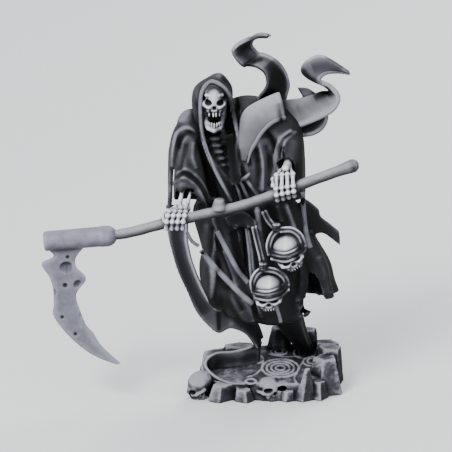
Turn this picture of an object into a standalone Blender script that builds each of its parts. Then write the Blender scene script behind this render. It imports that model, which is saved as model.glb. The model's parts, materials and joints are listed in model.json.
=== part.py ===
"""Grim reaper figurine: a hooded skeleton with a scythe, in wind-blown robes, on a broken stone plinth.

The pieces are those of a cast resin kit. Places on the figure are read from a front sketch, 452 units square,
drawn looking down on it by 20 degrees: units across, units down, and units of depth behind the middle.
"""

import math

import bmesh
import bpy
import numpy as np
from mathutils import Matrix, Vector
from mathutils.bvhtree import BVHTree

# The figure keeps its pose and carving as shares of its own height, foot of the plinth to tip of the ribbon.
FIGURE_HEIGHT = 0.092
SKETCH_HEIGHT = 368.0
UNIT = FIGURE_HEIGHT / SKETCH_HEIGHT
SIGHT = math.radians(20.0)
SKETCH_MIDDLE = 269.0
SKETCH_GROUND = 403.0
SKETCH_HALF_DEPTH = 48.0

# Sizes with a life of their own, in metres.
PLINTH_WIDTH = 0.0375
PLINTH_DEPTH = 0.0242
PLINTH_FRONT = 0.0043
PLINTH_BACK = 0.0067
CLOTH_THICK = 0.00095
GAP = 0.00035
SHAFT_RADIUS = 0.00142
SOCKET_WALL = 0.00075
SOCKET_DEPTH = 0.0046
BLADE_THICK = 0.0013
PIT_DEPTH = 0.0005
ROPE_RADIUS = 0.00052
TRIM_RADIUS = 0.00066
HEAD_TALL = 0.0125
TROPHY_TALL = 0.0102
FINGER_RADIUS = 0.00058

# The leg's foot: sketch place across, and how far back and how high it stands there on the sketched plinth.
FOOT_ACROSS = 306.0
FOOT_DEPTH = 29.5
FOOT_RISE = 25.2

# Grain of the moulded skins: the broad pieces' and the small pieces'.
VOXEL = 0.00034
SMALL_VOXEL = 0.00022
# How many triangles each moulded piece may keep.
TRIANGLES = {
    "stone_base": 1280,
    "robed_figure": 3640,
    "head_skull": 560,
    "right_hand": 450,
    "left_hand": 450,
    "trophy_skull_upper": 520,
    "trophy_skull_lower": 520,
    "cloak_tail": 520,
    "ribbon_tall": 360,
    "ribbon_rear": 220,
}
ROOM_TRIANGLES = 1200


def plinth_top(x, y):
    """Height of the plinth's sloping top over a place on the ground."""
    share = (y + PLINTH_DEPTH / 2) / PLINTH_DEPTH
    return PLINTH_FRONT + (PLINTH_BACK - PLINTH_FRONT) * share


FOOT_X = (FOOT_ACROSS - SKETCH_MIDDLE) * UNIT
LIFT = plinth_top(FOOT_X, FOOT_DEPTH * UNIT) - FOOT_RISE * UNIT


def at(across, down, depth):
    """World place of a sketch place at a depth."""
    rise = (SKETCH_GROUND - down - (depth + SKETCH_HALF_DEPTH) * math.sin(SIGHT)) / math.cos(SIGHT)
    return Vector(((across - SKETCH_MIDDLE) * UNIT, depth * UNIT, rise * UNIT + LIFT))


def smooth_path(points, steps):
    """Evenly numbered points on a smooth line through the given ones (tuples of any length)."""
    made = []
    last = len(points) - 1
    for step in range(steps + 1):
        place = last * step / steps
        i = min(int(place), last - 1)
        t = place - i
        p0, p1, p2, p3 = (points[min(max(i + k, 0), last)] for k in (-1, 0, 1, 2))
        made.append(tuple(
            b + 0.5 * ((c - a) * t + (2 * a - 5 * b + 4 * c - d) * t * t + (3 * b - a - 3 * c + d) * t ** 3)
            for a, b, c, d in zip(p0, p1, p2, p3)))
    return made


def ball(bm, centre, radii, turn=None, sides=12):
    """A closed ellipsoid. Radii are metres along x, y and z before its turn."""
    grow = Matrix.Diagonal(Vector(radii)).to_4x4()
    place = Matrix.Translation(centre) @ (turn.to_4x4() if turn else Matrix()) @ grow
    return bmesh.ops.create_uvsphere(bm, u_segments=sides, v_segments=max(6, sides // 2), radius=1.0,
                                     matrix=place)


def limb(bm, places, radii, sides=10):
    """A rounded bar through the places: tapered cones with a ball on every corner."""
    for place, radius in zip(places, radii):
        ball(bm, place, (radius, radius, radius), sides=sides)
    for start, end, r1, r2 in zip(places, places[1:], radii, radii[1:]):
        along = end - start
        if along.length < 1e-7:
            continue
        turn = along.to_track_quat("Z", "Y").to_matrix().to_4x4()
        bmesh.ops.create_cone(bm, cap_ends=True, segments=sides, radius1=r1, radius2=r2, depth=along.length,
                              matrix=Matrix.Translation((start + end) / 2) @ turn)


def cord(bm, points, radius, steps=0, sides=8):
    """A bar of one radius along a smooth line of sketch places."""
    line = smooth_path(points, steps or 3 * len(points))
    limb(bm, [at(*p) for p in line], [radius] * len(line), sides)


def loft(bm, sections, sides=32, rings=20, folds=0, fold_depth=0.0, twist=0.0):
    """A closed form through level ovals: across, down, depth, half width and half depth, in sketch units.

    Its sides carry a number of upright folds, which deepen towards the lower end.
    """
    line = smooth_path(sections, rings)
    made = bmesh.ops.create_uvsphere(bm, u_segments=sides, v_segments=rings, radius=1.0)
    for vert in made["verts"]:
        share = math.acos(max(-1.0, min(1.0, vert.co.z))) / math.pi
        around = math.atan2(vert.co.y, vert.co.x)
        flat = min(1.0, math.hypot(vert.co.x, vert.co.y) / max(1e-6, math.sin(math.pi / rings)))
        across, down, depth, wide, deep = line[round(share * rings)]
        wave = math.sin(folds * around + twist * share)
        wave += 0.45 * math.sin((folds + 3) * around - 2 * twist * share)
        swell = flat * (1.0 + fold_depth * share * wave)
        vert.co = at(across, down, depth)
        vert.co += Vector((wide * math.cos(around), deep * math.sin(around), 0.0)) * swell * UNIT
    return made


def plate(bm, cells_along, cells_across):
    """A flat closed plate, one wide, long and thick, ready to be bent: along x, across y, through z."""
    made = bmesh.ops.create_grid(bm, x_segments=cells_along, y_segments=cells_across, size=0.5,
                                 matrix=Matrix.Translation((0.5, 0.5, 0.0)))
    faces = list({face for vert in made["verts"] for face in vert.link_faces})
    lifted = bmesh.ops.extrude_face_region(bm, geom=faces, use_keep_orig=True)
    top = [item for item in lifted["geom"] if isinstance(item, bmesh.types.BMVert)]
    bmesh.ops.translate(bm, verts=top, vec=(0.0, 0.0, 1.0))
    corners = made["verts"] + top
    bmesh.ops.recalc_face_normals(bm, faces=list({face for vert in corners for face in vert.link_faces}))
    return corners


def facings(near_line, far_line):
    """The way the cloth between two edges faces at each step, evened out where it turns over."""
    last = len(near_line) - 1
    raw = []
    for i in range(last + 1):
        before, after = max(i - 1, 0), min(i + 1, last)
        ahead = near_line[after] + far_line[after] - near_line[before] - far_line[before]
        raw.append(ahead.cross(far_line[i] - near_line[i]).normalized())
    reach = max(1, last // 20)
    made = []
    for i in range(last + 1):
        total = Vector()
        for other in raw[max(0, i - reach):i + reach + 1]:
            total += other
        made.append(total.normalized() if total.length > 1e-3 else raw[i])
    return made


def strip(bm, near, far, along=24, across=3, thick=CLOTH_THICK, bulge=0.0):
    """Cloth between two edges of sketch places. Bulge bends its middle out, as a share of its width."""
    near_line = [at(*p) for p in smooth_path(near, along)]
    far_line = [at(*p) for p in smooth_path(far, along)]
    outs = facings(near_line, far_line)
    made = plate(bm, along, across)
    for vert in made:
        i = round(vert.co.x * along)
        side = vert.co.y
        curve = bulge * (far_line[i] - near_line[i]).length * 4 * side * (1 - side)
        vert.co = near_line[i].lerp(far_line[i], side) + outs[i] * (curve + (vert.co.z - 0.5) * thick)
    bmesh.ops.recalc_face_normals(bm, faces=list({face for vert in made for face in vert.link_faces}))


def wedge(bm, left, right, back, steps=16):
    """A cutting form seen from the front between two sketch edges, open to the front, with a rounded back.

    Left and right are places across and down. Back gives the depth of its back down the same way.
    """
    lefts, rights, backs = (smooth_path(edge, steps) for edge in (left, right, back))
    made = plate(bm, steps, 6)
    for vert in made:
        i = round(vert.co.x * steps)
        side = vert.co.y
        across = lefts[i][0] * (1 - side) + rights[i][0] * side
        down = lefts[i][1] * (1 - side) + rights[i][1] * side
        hollow = backs[i][0] - 10.0 * (2 * side - 1) ** 2
        vert.co = at(across, down, hollow if vert.co.z > 0.5 else -90.0)
    bmesh.ops.recalc_face_normals(bm, faces=list({face for vert in made for face in vert.link_faces}))


def material(name, colour, roughness, metallic=0.0):
    made = bpy.data.materials.new(name)
    made.use_nodes = True
    shader = made.node_tree.nodes["Principled BSDF"]
    shader.inputs["Base Color"].default_value = (*colour, 1.0)
    shader.inputs["Roughness"].default_value = roughness
    shader.inputs["Metallic"].default_value = metallic
    made.diffuse_color = (*colour, 1.0)
    return made


def start():
    """An empty scene with a collection for the parts and one for the cutters."""
    for item in list(bpy.data.objects):
        bpy.data.objects.remove(item, do_unlink=True)
    made = []
    for name in ("grim_reaper_figurine", "cutters"):
        group = bpy.data.collections.new(name)
        bpy.context.scene.collection.children.link(group)
        made.append(group)
    return made


PARTS, CUTTERS = start()


def finish_form(name, bm, group=None):
    """The bmesh as an object."""
    mesh = bpy.data.meshes.new(name)
    bm.to_mesh(mesh)
    bm.free()
    made = bpy.data.objects.new(name, mesh)
    (group or PARTS).objects.link(made)
    if group is CUTTERS:
        made.hide_render = True
        made.display_type = "WIRE"
    return made


def join_forms(name, first, second):
    """One object of two bmeshes."""
    return add_forms(finish_form(name, first), second)


def add_forms(item, bm):
    """Adds a bmesh to an object's mesh."""
    extra = bpy.data.meshes.new("extra")
    bm.to_mesh(extra)
    bm.free()
    both = bmesh.new()
    both.from_mesh(item.data)
    both.from_mesh(extra)
    both.to_mesh(item.data)
    both.free()
    bpy.data.meshes.remove(extra)
    return item


def settle(item):
    """Applies an object's modifiers."""
    shown = item.evaluated_get(bpy.context.evaluated_depsgraph_get())
    mesh = bpy.data.meshes.new_from_object(shown)
    item.modifiers.clear()
    item.data = mesh
    return item


def largest_body(item):
    """Drops the crumbs that a cut leaves and keeps the largest closed body."""
    bm = bmesh.new()
    bm.from_mesh(item.data)
    left = set(bm.faces)
    bodies = []
    while left:
        body, edge = set(), [left.pop()]
        while edge:
            face = edge.pop()
            body.add(face)
            for line in face.edges:
                for other in line.link_faces:
                    if other in left:
                        left.discard(other)
                        edge.append(other)
        bodies.append(body)
    bodies.sort(key=lambda body: -sum(face.calc_area() for face in body))
    for body in bodies[1:]:
        bmesh.ops.delete(bm, geom=list(body), context="FACES")
    bm.to_mesh(item.data)
    bm.free()
    return item


def fuse(item, voxel, rounds=2, triangles=None):
    """Melts overlapping closed forms into one skin, softens it and brings it down to some triangles."""
    remesh = item.modifiers.new("one_skin", "REMESH")
    remesh.mode = "VOXEL"
    remesh.voxel_size = voxel
    soften = item.modifiers.new("soften", "SMOOTH")
    soften.factor = 0.5
    soften.iterations = rounds
    settle(item)
    largest_body(item)
    return thin(item, triangles) if triangles else item


def thin(item, triangles):
    """Brings an item down to a number of triangles."""
    count = sum(len(face.vertices) - 2 for face in item.data.polygons)
    if count > triangles:
        fewer = item.modifiers.new("fewer", "DECIMATE")
        fewer.ratio = triangles / count
        fewer.use_collapse_triangulate = True
        settle(item)
    return item


def cut(item, cutter, how="DIFFERENCE"):
    """Cuts with a form whose own bodies may overlap."""
    boolean = item.modifiers.new("cut", "BOOLEAN")
    boolean.operation = how
    boolean.solver = "EXACT"
    boolean.use_self = True
    boolean.object = cutter
    settle(item)
    return item


def grown(item, by):
    """A cutter that is the item with its skin moved out, as one clean skin."""
    made = bpy.data.objects.new("room_for_" + item.name, item.data.copy())
    CUTTERS.objects.link(made)
    made.hide_render = True
    made.display_type = "WIRE"
    swell = made.modifiers.new("swell", "DISPLACE")
    swell.strength = by
    swell.mid_level = 0.0
    remesh = made.modifiers.new("one_skin", "REMESH")
    remesh.mode = "VOXEL"
    remesh.voxel_size = SMALL_VOXEL
    settle(made)
    return thin(made, ROOM_TRIANGLES)


def make_room(item, neighbours, voxel):
    """Cuts the neighbours and their gap out of an item, and gives it one clean skin again."""
    rooms = bmesh.new()
    for neighbour in neighbours:
        room = grown(neighbour, GAP * 1.3)
        rooms.from_mesh(room.data)
        bpy.data.objects.remove(room)
    cut(item, finish_form("room_in_" + item.name, rooms, CUTTERS))
    largest_body(item)
    return fuse(item, voxel, 0, TRIANGLES[item.name])


def skull_forms(bm, frame, tall, gape=None, narrow=1.0, dome=1.0):
    """The solid masses of a skull in a frame with its face to -y: shares of its own height, chin at zero.

    Gape is how far the jaw hangs open, and without one there is no jaw.
    """
    def put(x, y, z):
        return frame @ Vector((x * tall * narrow, y * tall, z * tall))

    turn = frame.to_3x3()

    def lump(x, y, z, a, b, c):
        ball(bm, put(x, y, z), (a * tall * narrow, b * tall, c * tall), turn, 14)

    def bar(points, radii):
        limb(bm, [put(*p) for p in points], [r * tall for r in radii], 8)

    lump(0.0, 0.10, 0.67 - 0.3 * (1.0 - dome), 0.34, 0.42 * dome, 0.33 * dome)
    lump(0.0, -0.15, 0.48, 0.25, 0.22, 0.26)
    lump(0.0, -0.06, 0.60, 0.28, 0.20, 0.17)
    lump(0.0, -0.19, 0.335, 0.17, 0.14, 0.08)
    bar([(-0.26, -0.17, 0.60), (-0.13, -0.28, 0.61), (0.0, -0.30, 0.585), (0.13, -0.28, 0.61),
         (0.26, -0.17, 0.60)], [0.042] * 5)
    for side in (-1, 1):
        bar([(side * 0.14, -0.30, 0.40), (side * 0.25, -0.22, 0.42), (side * 0.31, -0.04, 0.46),
             (side * 0.30, 0.08, 0.50)], [0.06, 0.065, 0.04, 0.05])
        lump(side * 0.16, -0.22, 0.35, 0.07, 0.10, 0.12)
    teeth = [math.radians(-50 + 25 * tooth) for tooth in range(5)]
    for angle in teeth:
        x, y = 0.20 * math.sin(angle), -0.16 - 0.17 * math.cos(angle)
        bar([(x, y, 0.29), (x, y, 0.175)], [0.030, 0.024])
    if gape is None:
        return
    for side in (-1, 1):
        bar([(side * 0.28, 0.02, 0.46), (side * 0.25, 0.0, 0.22 - gape), (side * 0.17, -0.20, 0.08 - gape)],
            [0.05, 0.06, 0.06])
    bar([(-0.14, -0.23, 0.06 - gape), (0.0, -0.28, 0.03 - gape), (0.14, -0.23, 0.06 - gape)], [0.065] * 3)
    bar([(-0.15, -0.20, 0.13 - gape), (0.0, -0.27, 0.11 - gape), (0.15, -0.20, 0.13 - gape)], [0.045] * 3)
    for angle in teeth:
        x, y = 0.17 * math.sin(angle), -0.15 - 0.16 * math.cos(angle)
        bar([(x, y, 0.13 - gape), (x, y, 0.215 - gape)], [0.028, 0.022])


def skull_hollows(bm, frame, tall, narrow=1.0, eyes=0.16):
    """Eye sockets, nose and temples of the same skull. Eyes is how far each socket is from its middle."""
    turn = frame.to_3x3()
    hollows = [(-eyes, -0.37, 0.49, 0.105, 0.19, 0.085), (eyes, -0.37, 0.49, 0.105, 0.19, 0.085),
               (0.0, -0.40, 0.375, 0.045, 0.14, 0.075),
               (-0.36, -0.12, 0.60, 0.09, 0.13, 0.12), (0.36, -0.12, 0.60, 0.09, 0.13, 0.12)]
    for x, y, z, a, b, c in hollows:
        place = frame @ Vector((x * tall * narrow, y * tall, z * tall))
        ball(bm, place, (a * tall * narrow, b * tall, c * tall), turn, 10)


def face_frame(across, down, depth, nod=0.0, turn=0.0, roll=0.0):
    """A frame whose zero is a skull's chin. Angles in degrees: nod looks down, turn looks to the right."""
    spin = (Matrix.Rotation(math.radians(roll), 4, "Y") @ Matrix.Rotation(math.radians(turn), 4, "Z")
            @ Matrix.Rotation(math.radians(nod), 4, "X"))
    return Matrix.Translation(at(across, down, depth)) @ spin


def sights_of(bm):
    """A function that gives the place first seen on these forms from the front, moved towards the viewer."""
    tree = BVHTree.FromBMesh(bm)
    ahead = (at(0, 0, 1) - at(0, 0, 0)).normalized()

    def seen(across, down, lift=0.0, default=-20.0):
        place = tree.ray_cast(at(across, down, -200.0), ahead)[0]
        if place is None:
            place = at(across, down, default)
        return place - ahead * lift * UNIT

    return seen


def laid_cord(bm, seen, points, radius, lift=0.0, steps=0):
    """A bar laid on what is seen along a sketch line: places across and down."""
    line = smooth_path(points, steps or 3 * len(points))
    limb(bm, [seen(*p, lift) for p in line], [radius] * len(line), 8)


# The plinth: broken slabs with half-buried skulls.

def build_plinth():
    bm = bmesh.new()
    made = bmesh.ops.create_cone(bm, cap_ends=True, segments=36, radius1=1.0, radius2=0.93, depth=1.0)
    for vert in made["verts"]:
        around = math.atan2(vert.co.y, vert.co.x)
        size = math.hypot(vert.co.x, vert.co.y)
        square = (abs(math.cos(around)) ** 3.2 + abs(math.sin(around)) ** 3.2) ** (-1 / 3.2)
        ragged = 1.0 + 0.03 * math.sin(5 * around + 1.0) + 0.02 * math.sin(11 * around)
        x = 0.95 * PLINTH_WIDTH / 2 * square * ragged * size * math.cos(around)
        y = 0.95 * PLINTH_DEPTH / 2 * square * ragged * size * math.sin(around)
        vert.co = Vector((x, y, plinth_top(x, y) if vert.co.z > 0 else -0.002))
    for x, y, wide, deep, rise, turn, tilt, sides, top in STONES:
        place = Vector((x * PLINTH_WIDTH / 2, y * PLINTH_DEPTH / 2, 0.0))
        tall = plinth_top(place.x, place.y) * rise
        spin = Matrix.Rotation(math.radians(turn), 4, "Z") @ Matrix.Rotation(math.radians(tilt), 4, "X")
        grow = Matrix.Diagonal((wide / 2 * UNIT, deep / 2 * UNIT, tall, 1.0))
        stand = Matrix.Translation(place) @ spin @ grow @ Matrix.Translation((0, 0, 0.5))
        bmesh.ops.create_cone(bm, cap_ends=True, segments=sides, radius1=1.35, radius2=top, depth=1.0,
                              matrix=stand)
    for frame, tall, dome, _ in buried_skulls():
        skull_forms(bm, frame, tall, 0.0, 1.0, dome)
    item = finish_form("stone_base", bm)
    fuse(item, VOXEL, 1)
    holes = bmesh.new()
    for frame, tall, _, eyes in buried_skulls():
        skull_hollows(holes, frame, tall, 1.0, eyes)
    cut(item, finish_form("eyes_of_buried_skulls", holes, CUTTERS))
    thin(largest_body(item), TRIANGLES["stone_base"])
    ground = bmesh.new()
    bmesh.ops.create_cube(ground, size=1.0, matrix=Matrix.Translation((0, 0, -0.5)))
    cut(item, finish_form("below_ground", ground, CUTTERS))
    return largest_body(item)


# Slabs and stones on the plinth: place as shares of its half width and depth, width and depth in sketch
# units, height as a share of the top there, turn and tilt in degrees, how many sides, and the share of its
# width that its top keeps.
STONES = (
    (0.26, -0.90, 12, 8, 0.66, 20, 5, 5, 0.95),
    (0.50, -0.84, 15, 9, 1.92, 30, 4, 5, 0.30),
    (0.67, -0.78, 15, 14, 1.00, 10, -5, 4, 0.90),
    (0.77, -0.34, 28, 32, 1.72, 20, -5, 5, 0.85),
    (0.80, 0.14, 26, 26, 1.70, 75, 4, 5, 0.90),
    (0.78, 0.62, 26, 24, 1.35, -20, -4, 5, 0.95),
    (0.50, 0.84, 26, 14, 1.75, 10, 3, 5, 0.95),
    (0.16, 0.80, 30, 18, 1.90, -8, 4, 7, 0.55),
    (-0.40, 0.78, 34, 18, 1.12, 10, 3, 6, 0.95),
    (-0.76, 0.40, 22, 32, 1.08, -12, -4, 5, 0.95),
    (-0.82, -0.15, 16, 32, 1.02, 6, 4, 6, 0.95),
    (-0.62, -0.82, 25, 15, 1.02, 34, 7, 5, 0.95),
    (-0.34, -0.90, 17, 12, 0.80, -24, 8, 5, 0.95),
)


def buried_skulls():
    """Frame, height, dome size and eye place of the plinth's skulls: the front edge's and the corner's."""
    front = Vector((0.002 * PLINTH_WIDTH, -0.38 * PLINTH_DEPTH, -0.088 * PLINTH_DEPTH))
    corner = Vector((-0.455 * PLINTH_WIDTH, -0.34 * PLINTH_DEPTH, -0.05 * PLINTH_DEPTH))
    spin = Matrix.Rotation(math.radians(34), 4, "Z") @ Matrix.Rotation(math.radians(-10), 4, "X")
    other = Matrix.Rotation(math.radians(-62), 4, "Z") @ Matrix.Rotation(math.radians(10), 4, "X")
    return [(Matrix.Translation(front) @ spin, 40 * UNIT, 0.6, 0.18),
            (Matrix.Translation(corner) @ other, 32 * UNIT, 1.0, 0.16)]


# The scythe: its shaft's line from the flared butt to the blade's socket, as sketch places.
SHAFT = ((351, 166.6, -35), (306, 183, -40), (270, 196.5, -43), (240, 206.5, -45), (200, 215.6, -46.5),
         (165, 223.5, -48), (130, 232.5, -49.5), (100, 236.8, -50))


def build_shaft():
    line = smooth_path(SHAFT, 14)
    bm = bmesh.new()
    rail = bpy.data.curves.new("scythe_shaft", "CURVE")
    rail.dimensions = "3D"
    rail.bevel_depth = SHAFT_RADIUS
    rail.bevel_resolution = 2
    rail.use_fill_caps = True
    spline = rail.splines.new("POLY")
    spline.points.add(len(line) - 1)
    for point, place in zip(spline.points, line):
        point.co = (*at(*place), 1.0)
        point.radius = 1.04 - 0.08 * abs(place[0] - 240) / 110
    spline.points[0].radius = 1.25
    curve = bpy.data.objects.new("shaft_line", rail)
    PARTS.objects.link(curve)
    mesh = bpy.data.meshes.new_from_object(curve.evaluated_get(bpy.context.evaluated_depsgraph_get()))
    bm.from_mesh(mesh)
    bmesh.ops.remove_doubles(bm, verts=bm.verts, dist=1e-6)
    bpy.data.objects.remove(curve)
    item = finish_form("scythe_shaft", bm)
    grip = bmesh.new()
    foot, head = at(219.5, 209.5, -45.8), at(219.5, 199.0, -45.8)
    bmesh.ops.create_cone(grip, cap_ends=True, segments=10, radius1=8.4 * UNIT, radius2=4.8 * UNIT,
                          depth=(head - foot).length, matrix=Matrix.Translation((foot + head) / 2))
    return cut(item, finish_form("grip_stub", grip, CUTTERS), "UNION")


# The blade's back and its notched inner edge from the socket to the tip, as sketch places.
BLADE_BACK = ((48, 248.5), (55.2, 256), (43, 263.2), (50.4, 276.4), (54, 288), (54.6, 303.8), (53.6, 313.9),
              (60.5, 325.4), (72, 338.4), (86.5, 350.6), (100.9, 358.6), (117.4, 364.6))
BLADE_EDGE = ((89.3, 243), (77.8, 256.3), (77.4, 266.3), (87.2, 277.9), (78.5, 290.8), (77.2, 298),
              (80.7, 309.6), (86.5, 324), (93.7, 332.6), (100.9, 344.2), (112.4, 355.7), (121, 362.9))
BLADE_DEPTH = -50.0
# Pits eaten into the blade: place across and down, and half sizes.
PITS = ((67.7, 269.2, 7.2, 8.6), (69, 257, 2.2, 2.2), (66.3, 285.5, 3, 3), (79, 286.5, 5, 7),
        (55, 293.7, 2.6, 5.6), (63, 317, 2.2, 2.2), (76, 334, 2.2, 2.2), (84, 317, 5, 8))


def build_blade():
    bm = bmesh.new()
    last = 2 * (len(BLADE_BACK) - 1)
    back_line, edge_line = smooth_path(BLADE_BACK, last), smooth_path(BLADE_EDGE, last)
    made = plate(bm, last, 2)
    ahead = (at(0, 0, 1) - at(0, 0, 0)).normalized()
    for vert in made:
        i = round(vert.co.x * last)
        back, edge = back_line[i], edge_line[i]
        side = (0.0, 0.78, 1.0)[round(vert.co.y * 2)]
        thick = BLADE_THICK * (1.0 if side < 0.9 else 0.3)
        place = at(back[0] + (edge[0] - back[0]) * side, back[1] + (edge[1] - back[1]) * side, BLADE_DEPTH)
        vert.co = place + ahead * (vert.co.z - 0.5) * thick
    bmesh.ops.recalc_face_normals(bm, faces=bm.faces)
    item = finish_form("scythe_blade", bm)
    holes = bmesh.new()
    for across, down, wide, tall in PITS:
        place = at(across, down, BLADE_DEPTH) - ahead * (BLADE_THICK / 2 + 0.0005 - PIT_DEPTH)
        turn = Matrix.Rotation(math.pi / 2 - SIGHT, 3, "X")
        bmesh.ops.create_cone(holes, cap_ends=True, segments=7, radius1=1.0, radius2=1.0, depth=0.001,
                              matrix=Matrix.Translation(place) @ turn.to_4x4()
                              @ Matrix.Diagonal((wide * UNIT, tall * UNIT, 1.0, 1.0)))
    cut(item, finish_form("blade_pits", holes, CUTTERS))
    tube = bmesh.new()
    end, start = at(45.5, 241.2, -51), at(109, 235.8, -49.8)
    along = end - start
    radius = SHAFT_RADIUS + GAP + SOCKET_WALL
    turn = along.to_track_quat("Z", "Y").to_matrix().to_4x4()
    bmesh.ops.create_cone(tube, cap_ends=True, segments=14, radius1=radius, radius2=radius,
                          depth=along.length, matrix=Matrix.Translation((start + end) / 2) @ turn)
    closed_end = [line for line in tube.edges
                  if all((vert.co - end).length < 1.01 * radius for vert in line.verts)]
    bmesh.ops.bevel(tube, geom=closed_end, offset=radius * 0.45, segments=2, profile=0.5, affect="EDGES",
                    material=-1)
    cut(item, finish_form("socket", tube, CUTTERS), "UNION")
    bore = bmesh.new()
    mouth = at(*SHAFT[-1])
    inward = (at(*SHAFT[-1]) - at(*SHAFT[-2])).normalized()
    radius = SHAFT_RADIUS + GAP
    middle = mouth - inward * SOCKET_DEPTH / 2 + inward * GAP
    turn = inward.to_track_quat("Z", "Y").to_matrix().to_4x4()
    bmesh.ops.create_cone(bore, cap_ends=True, segments=16, radius1=radius, radius2=radius,
                          depth=SOCKET_DEPTH, matrix=Matrix.Translation(middle) @ turn)
    cut(item, finish_form("socket_bore", bore, CUTTERS))
    return largest_body(item)


# The long end of the cloak, which falls at the figure's right and curls on the plinth: both edges, from the
# top.
TAIL_OUTER = ((166, 205, 10), (168, 232, 9), (172, 250, 8), (178, 270, 6), (187, 290, 3), (197, 312, 0),
              (210, 327, -2), (219, 333, -3), (230, 328.5, -3), (243, 333, -2), (252, 342, -2),
              (257, 350, -3))
TAIL_INNER = ((188, 205, 6), (186, 236, 2), (188, 250, 0), (191, 262, -2), (197, 278, -4), (205, 295, -7),
              (212, 305, -9), (219, 310.5, -10), (230, 304.5, -9), (243, 308, -5), (256, 323, 3),
              (262, 338, 8))
# The curl's standing top edge, which ends at the plinth's front.
CURL_TOP = ((261, 344, 4), (247, 350, 0), (232, 353.5, -3), (216, 355, -9), (207, 361, -16),
            (206, 368, -24), (211, 374, -32), (220, 380, -38), (232, 384, -41), (244, 384.5, -40))


def build_tail():
    bm = bmesh.new()
    strip(bm, TAIL_OUTER, TAIL_INNER, 26, 3, CLOTH_THICK, -0.04)
    along = 18
    top = [at(*p) for p in smooth_path(CURL_TOP, along)]
    made = plate(bm, along, 2)
    middle = at(234, 370, -20)
    for vert in made:
        i = round(vert.co.x * along)
        out = top[i] - middle
        out.z = 0.0
        foot = top[i] - out.normalized() * 2.0 * UNIT
        foot.z = plinth_top(foot.x, foot.y) + GAP
        place = foot.lerp(top[i], vert.co.y)
        vert.co = place + out.normalized() * (vert.co.z - 0.5) * CLOTH_THICK
    bmesh.ops.recalc_face_normals(bm, faces=bm.faces)
    item = finish_form("cloak_tail", bm)
    return fuse(item, SMALL_VOXEL, 1)


# The three blown ends of the cloak over the shoulder, each by its two edges.
RIBBONS = {
    "ribbon_tall": (
        ((283, 106, 10), (286, 92, 10), (287, 85, 9), (284, 75, 8), (278, 66, 8), (271, 60.6, 9),
         (263, 57, 10), (257, 55.6, 10), (252, 50.5, 9), (250, 46.6, 7), (251.6, 41.6, 4), (258, 38, 1),
         (264, 37.6, -1), (269, 38, -3)),
        ((250, 112, 0), (258, 99, -5), (265, 90, -8), (266.5, 83, -9), (264, 75, -9), (257, 69.5, -8),
         (248, 67.3, -6), (242.4, 68, -4), (235, 60.6, -3), (232, 54, -4), (235, 49, -5), (241.6, 44, -5),
         (253, 40, -4), (267, 40.5, -4))),
    "ribbon_broad": (
        ((247, 163, -24), (250, 152, -25), (255, 143, -25), (262, 132, -24), (272, 123, -22),
         (283, 119, -18), (277, 124, -11), (278, 128, -6), (290, 129, -5), (305, 123.7, -6), (321, 117, -6),
         (332, 110, -3), (337, 101, 2), (335, 94, 5), (328, 87, 8), (319, 83, 10), (319, 78, 11),
         (326, 73.5, 11), (337, 73, 10), (348, 75, 9)),
        ((241, 161, -22), (239, 147, -23), (239, 132, -22), (241, 117, -20), (250, 106.5, -16),
         (276, 94, -8), (274, 99, -1), (277, 101, 3), (287, 100.5, 4), (300, 99, 6), (311, 96, 9),
         (320, 93, 16), (328, 92, 23), (329, 89, 27), (322, 84, 27), (306, 77, 22), (300.5, 70, 18),
         (306, 61.5, 15), (322, 57, 13), (348, 72.5, 9))),
    "ribbon_rear": (
        ((283, 133, 4), (292, 135, 3), (309, 134.5, 3), (320, 129, 4), (325, 120, 8), (324, 110, 14),
         (316, 102, 20), (303, 98, 24)),
        ((283, 119, 9), (295, 118, 9), (306, 115, 10), (314, 110, 12), (317, 104, 16), (315, 96, 22),
         (308, 89, 27), (297, 88, 30))),
}


def build_ribbons():
    made = []
    for name, (near, far) in RIBBONS.items():
        bm = bmesh.new()
        steps = round(1.6 * (len(near) - 1))
        strip(bm, near, far, steps, 2, CLOTH_THICK, 0.05)
        made.append(finish_form(name, bm))
    return made


# Masses of the robed body: level oval sections, top to bottom.
TORSO = ((226, 100, -4, 14, 10), (229, 118, -2, 38, 20), (235, 140, 0, 46, 22), (241, 165, 1, 45, 23),
         (245, 190, 2, 44, 24), (247, 212, 2, 54, 26), (252, 238, 2, 53, 28), (262, 268, 2, 53, 30),
         (264, 290, 0, 51, 30), (267, 307, -2, 44, 28), (269, 317, -3, 35, 24), (270, 321, -3, 12, 10))
SKIRT_ROOM = ((262, 276, 0, 8, 8), (264, 291, -1, 34, 19), (267, 308, -3, 38, 22), (269, 324, -4, 34, 20),
              (269, 334, -4, 30, 18))
HOOD = ((219, 75, -14, 2, 3), (217, 81, -14, 10, 14), (213.5, 90, -13, 19, 21), (212.5, 104, -12, 20.5, 24),
        (215, 122, -10, 20.5, 24), (220, 145, -8, 21, 23), (226, 168, -7, 21, 21), (232, 190, -8, 19, 19),
        (235, 206, -10, 12, 14))
SLEEVE_LEFT = ((195, 118, -4, 12, 12), (191, 140, -10, 13, 13), (191, 165, -16, 16, 13),
               (193, 185, -20, 19, 13), (195, 203, -23, 21, 13))
SLEEVE_LEFT_ROOM = ((190, 176, -22, 6, 6), (190, 190, -24, 13, 9), (191, 206, -27, 16, 10),
                    (192, 220, -28, 17, 11))
SLEEVE_RIGHT = ((258, 104, 0, 22, 15), (276, 122, -4, 22, 15), (288, 140, -12, 15, 14),
                (289, 160, -14, 15.5, 14), (289, 180, -10, 16, 13), (291, 200, -6, 14, 11))
BELL = ((300, 222, 8, 8, 8), (305, 240, 10, 13, 13), (309, 262, 12, 21, 19), (311, 280, 12, 23, 22),
        (312, 296, 12, 27, 24))
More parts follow.
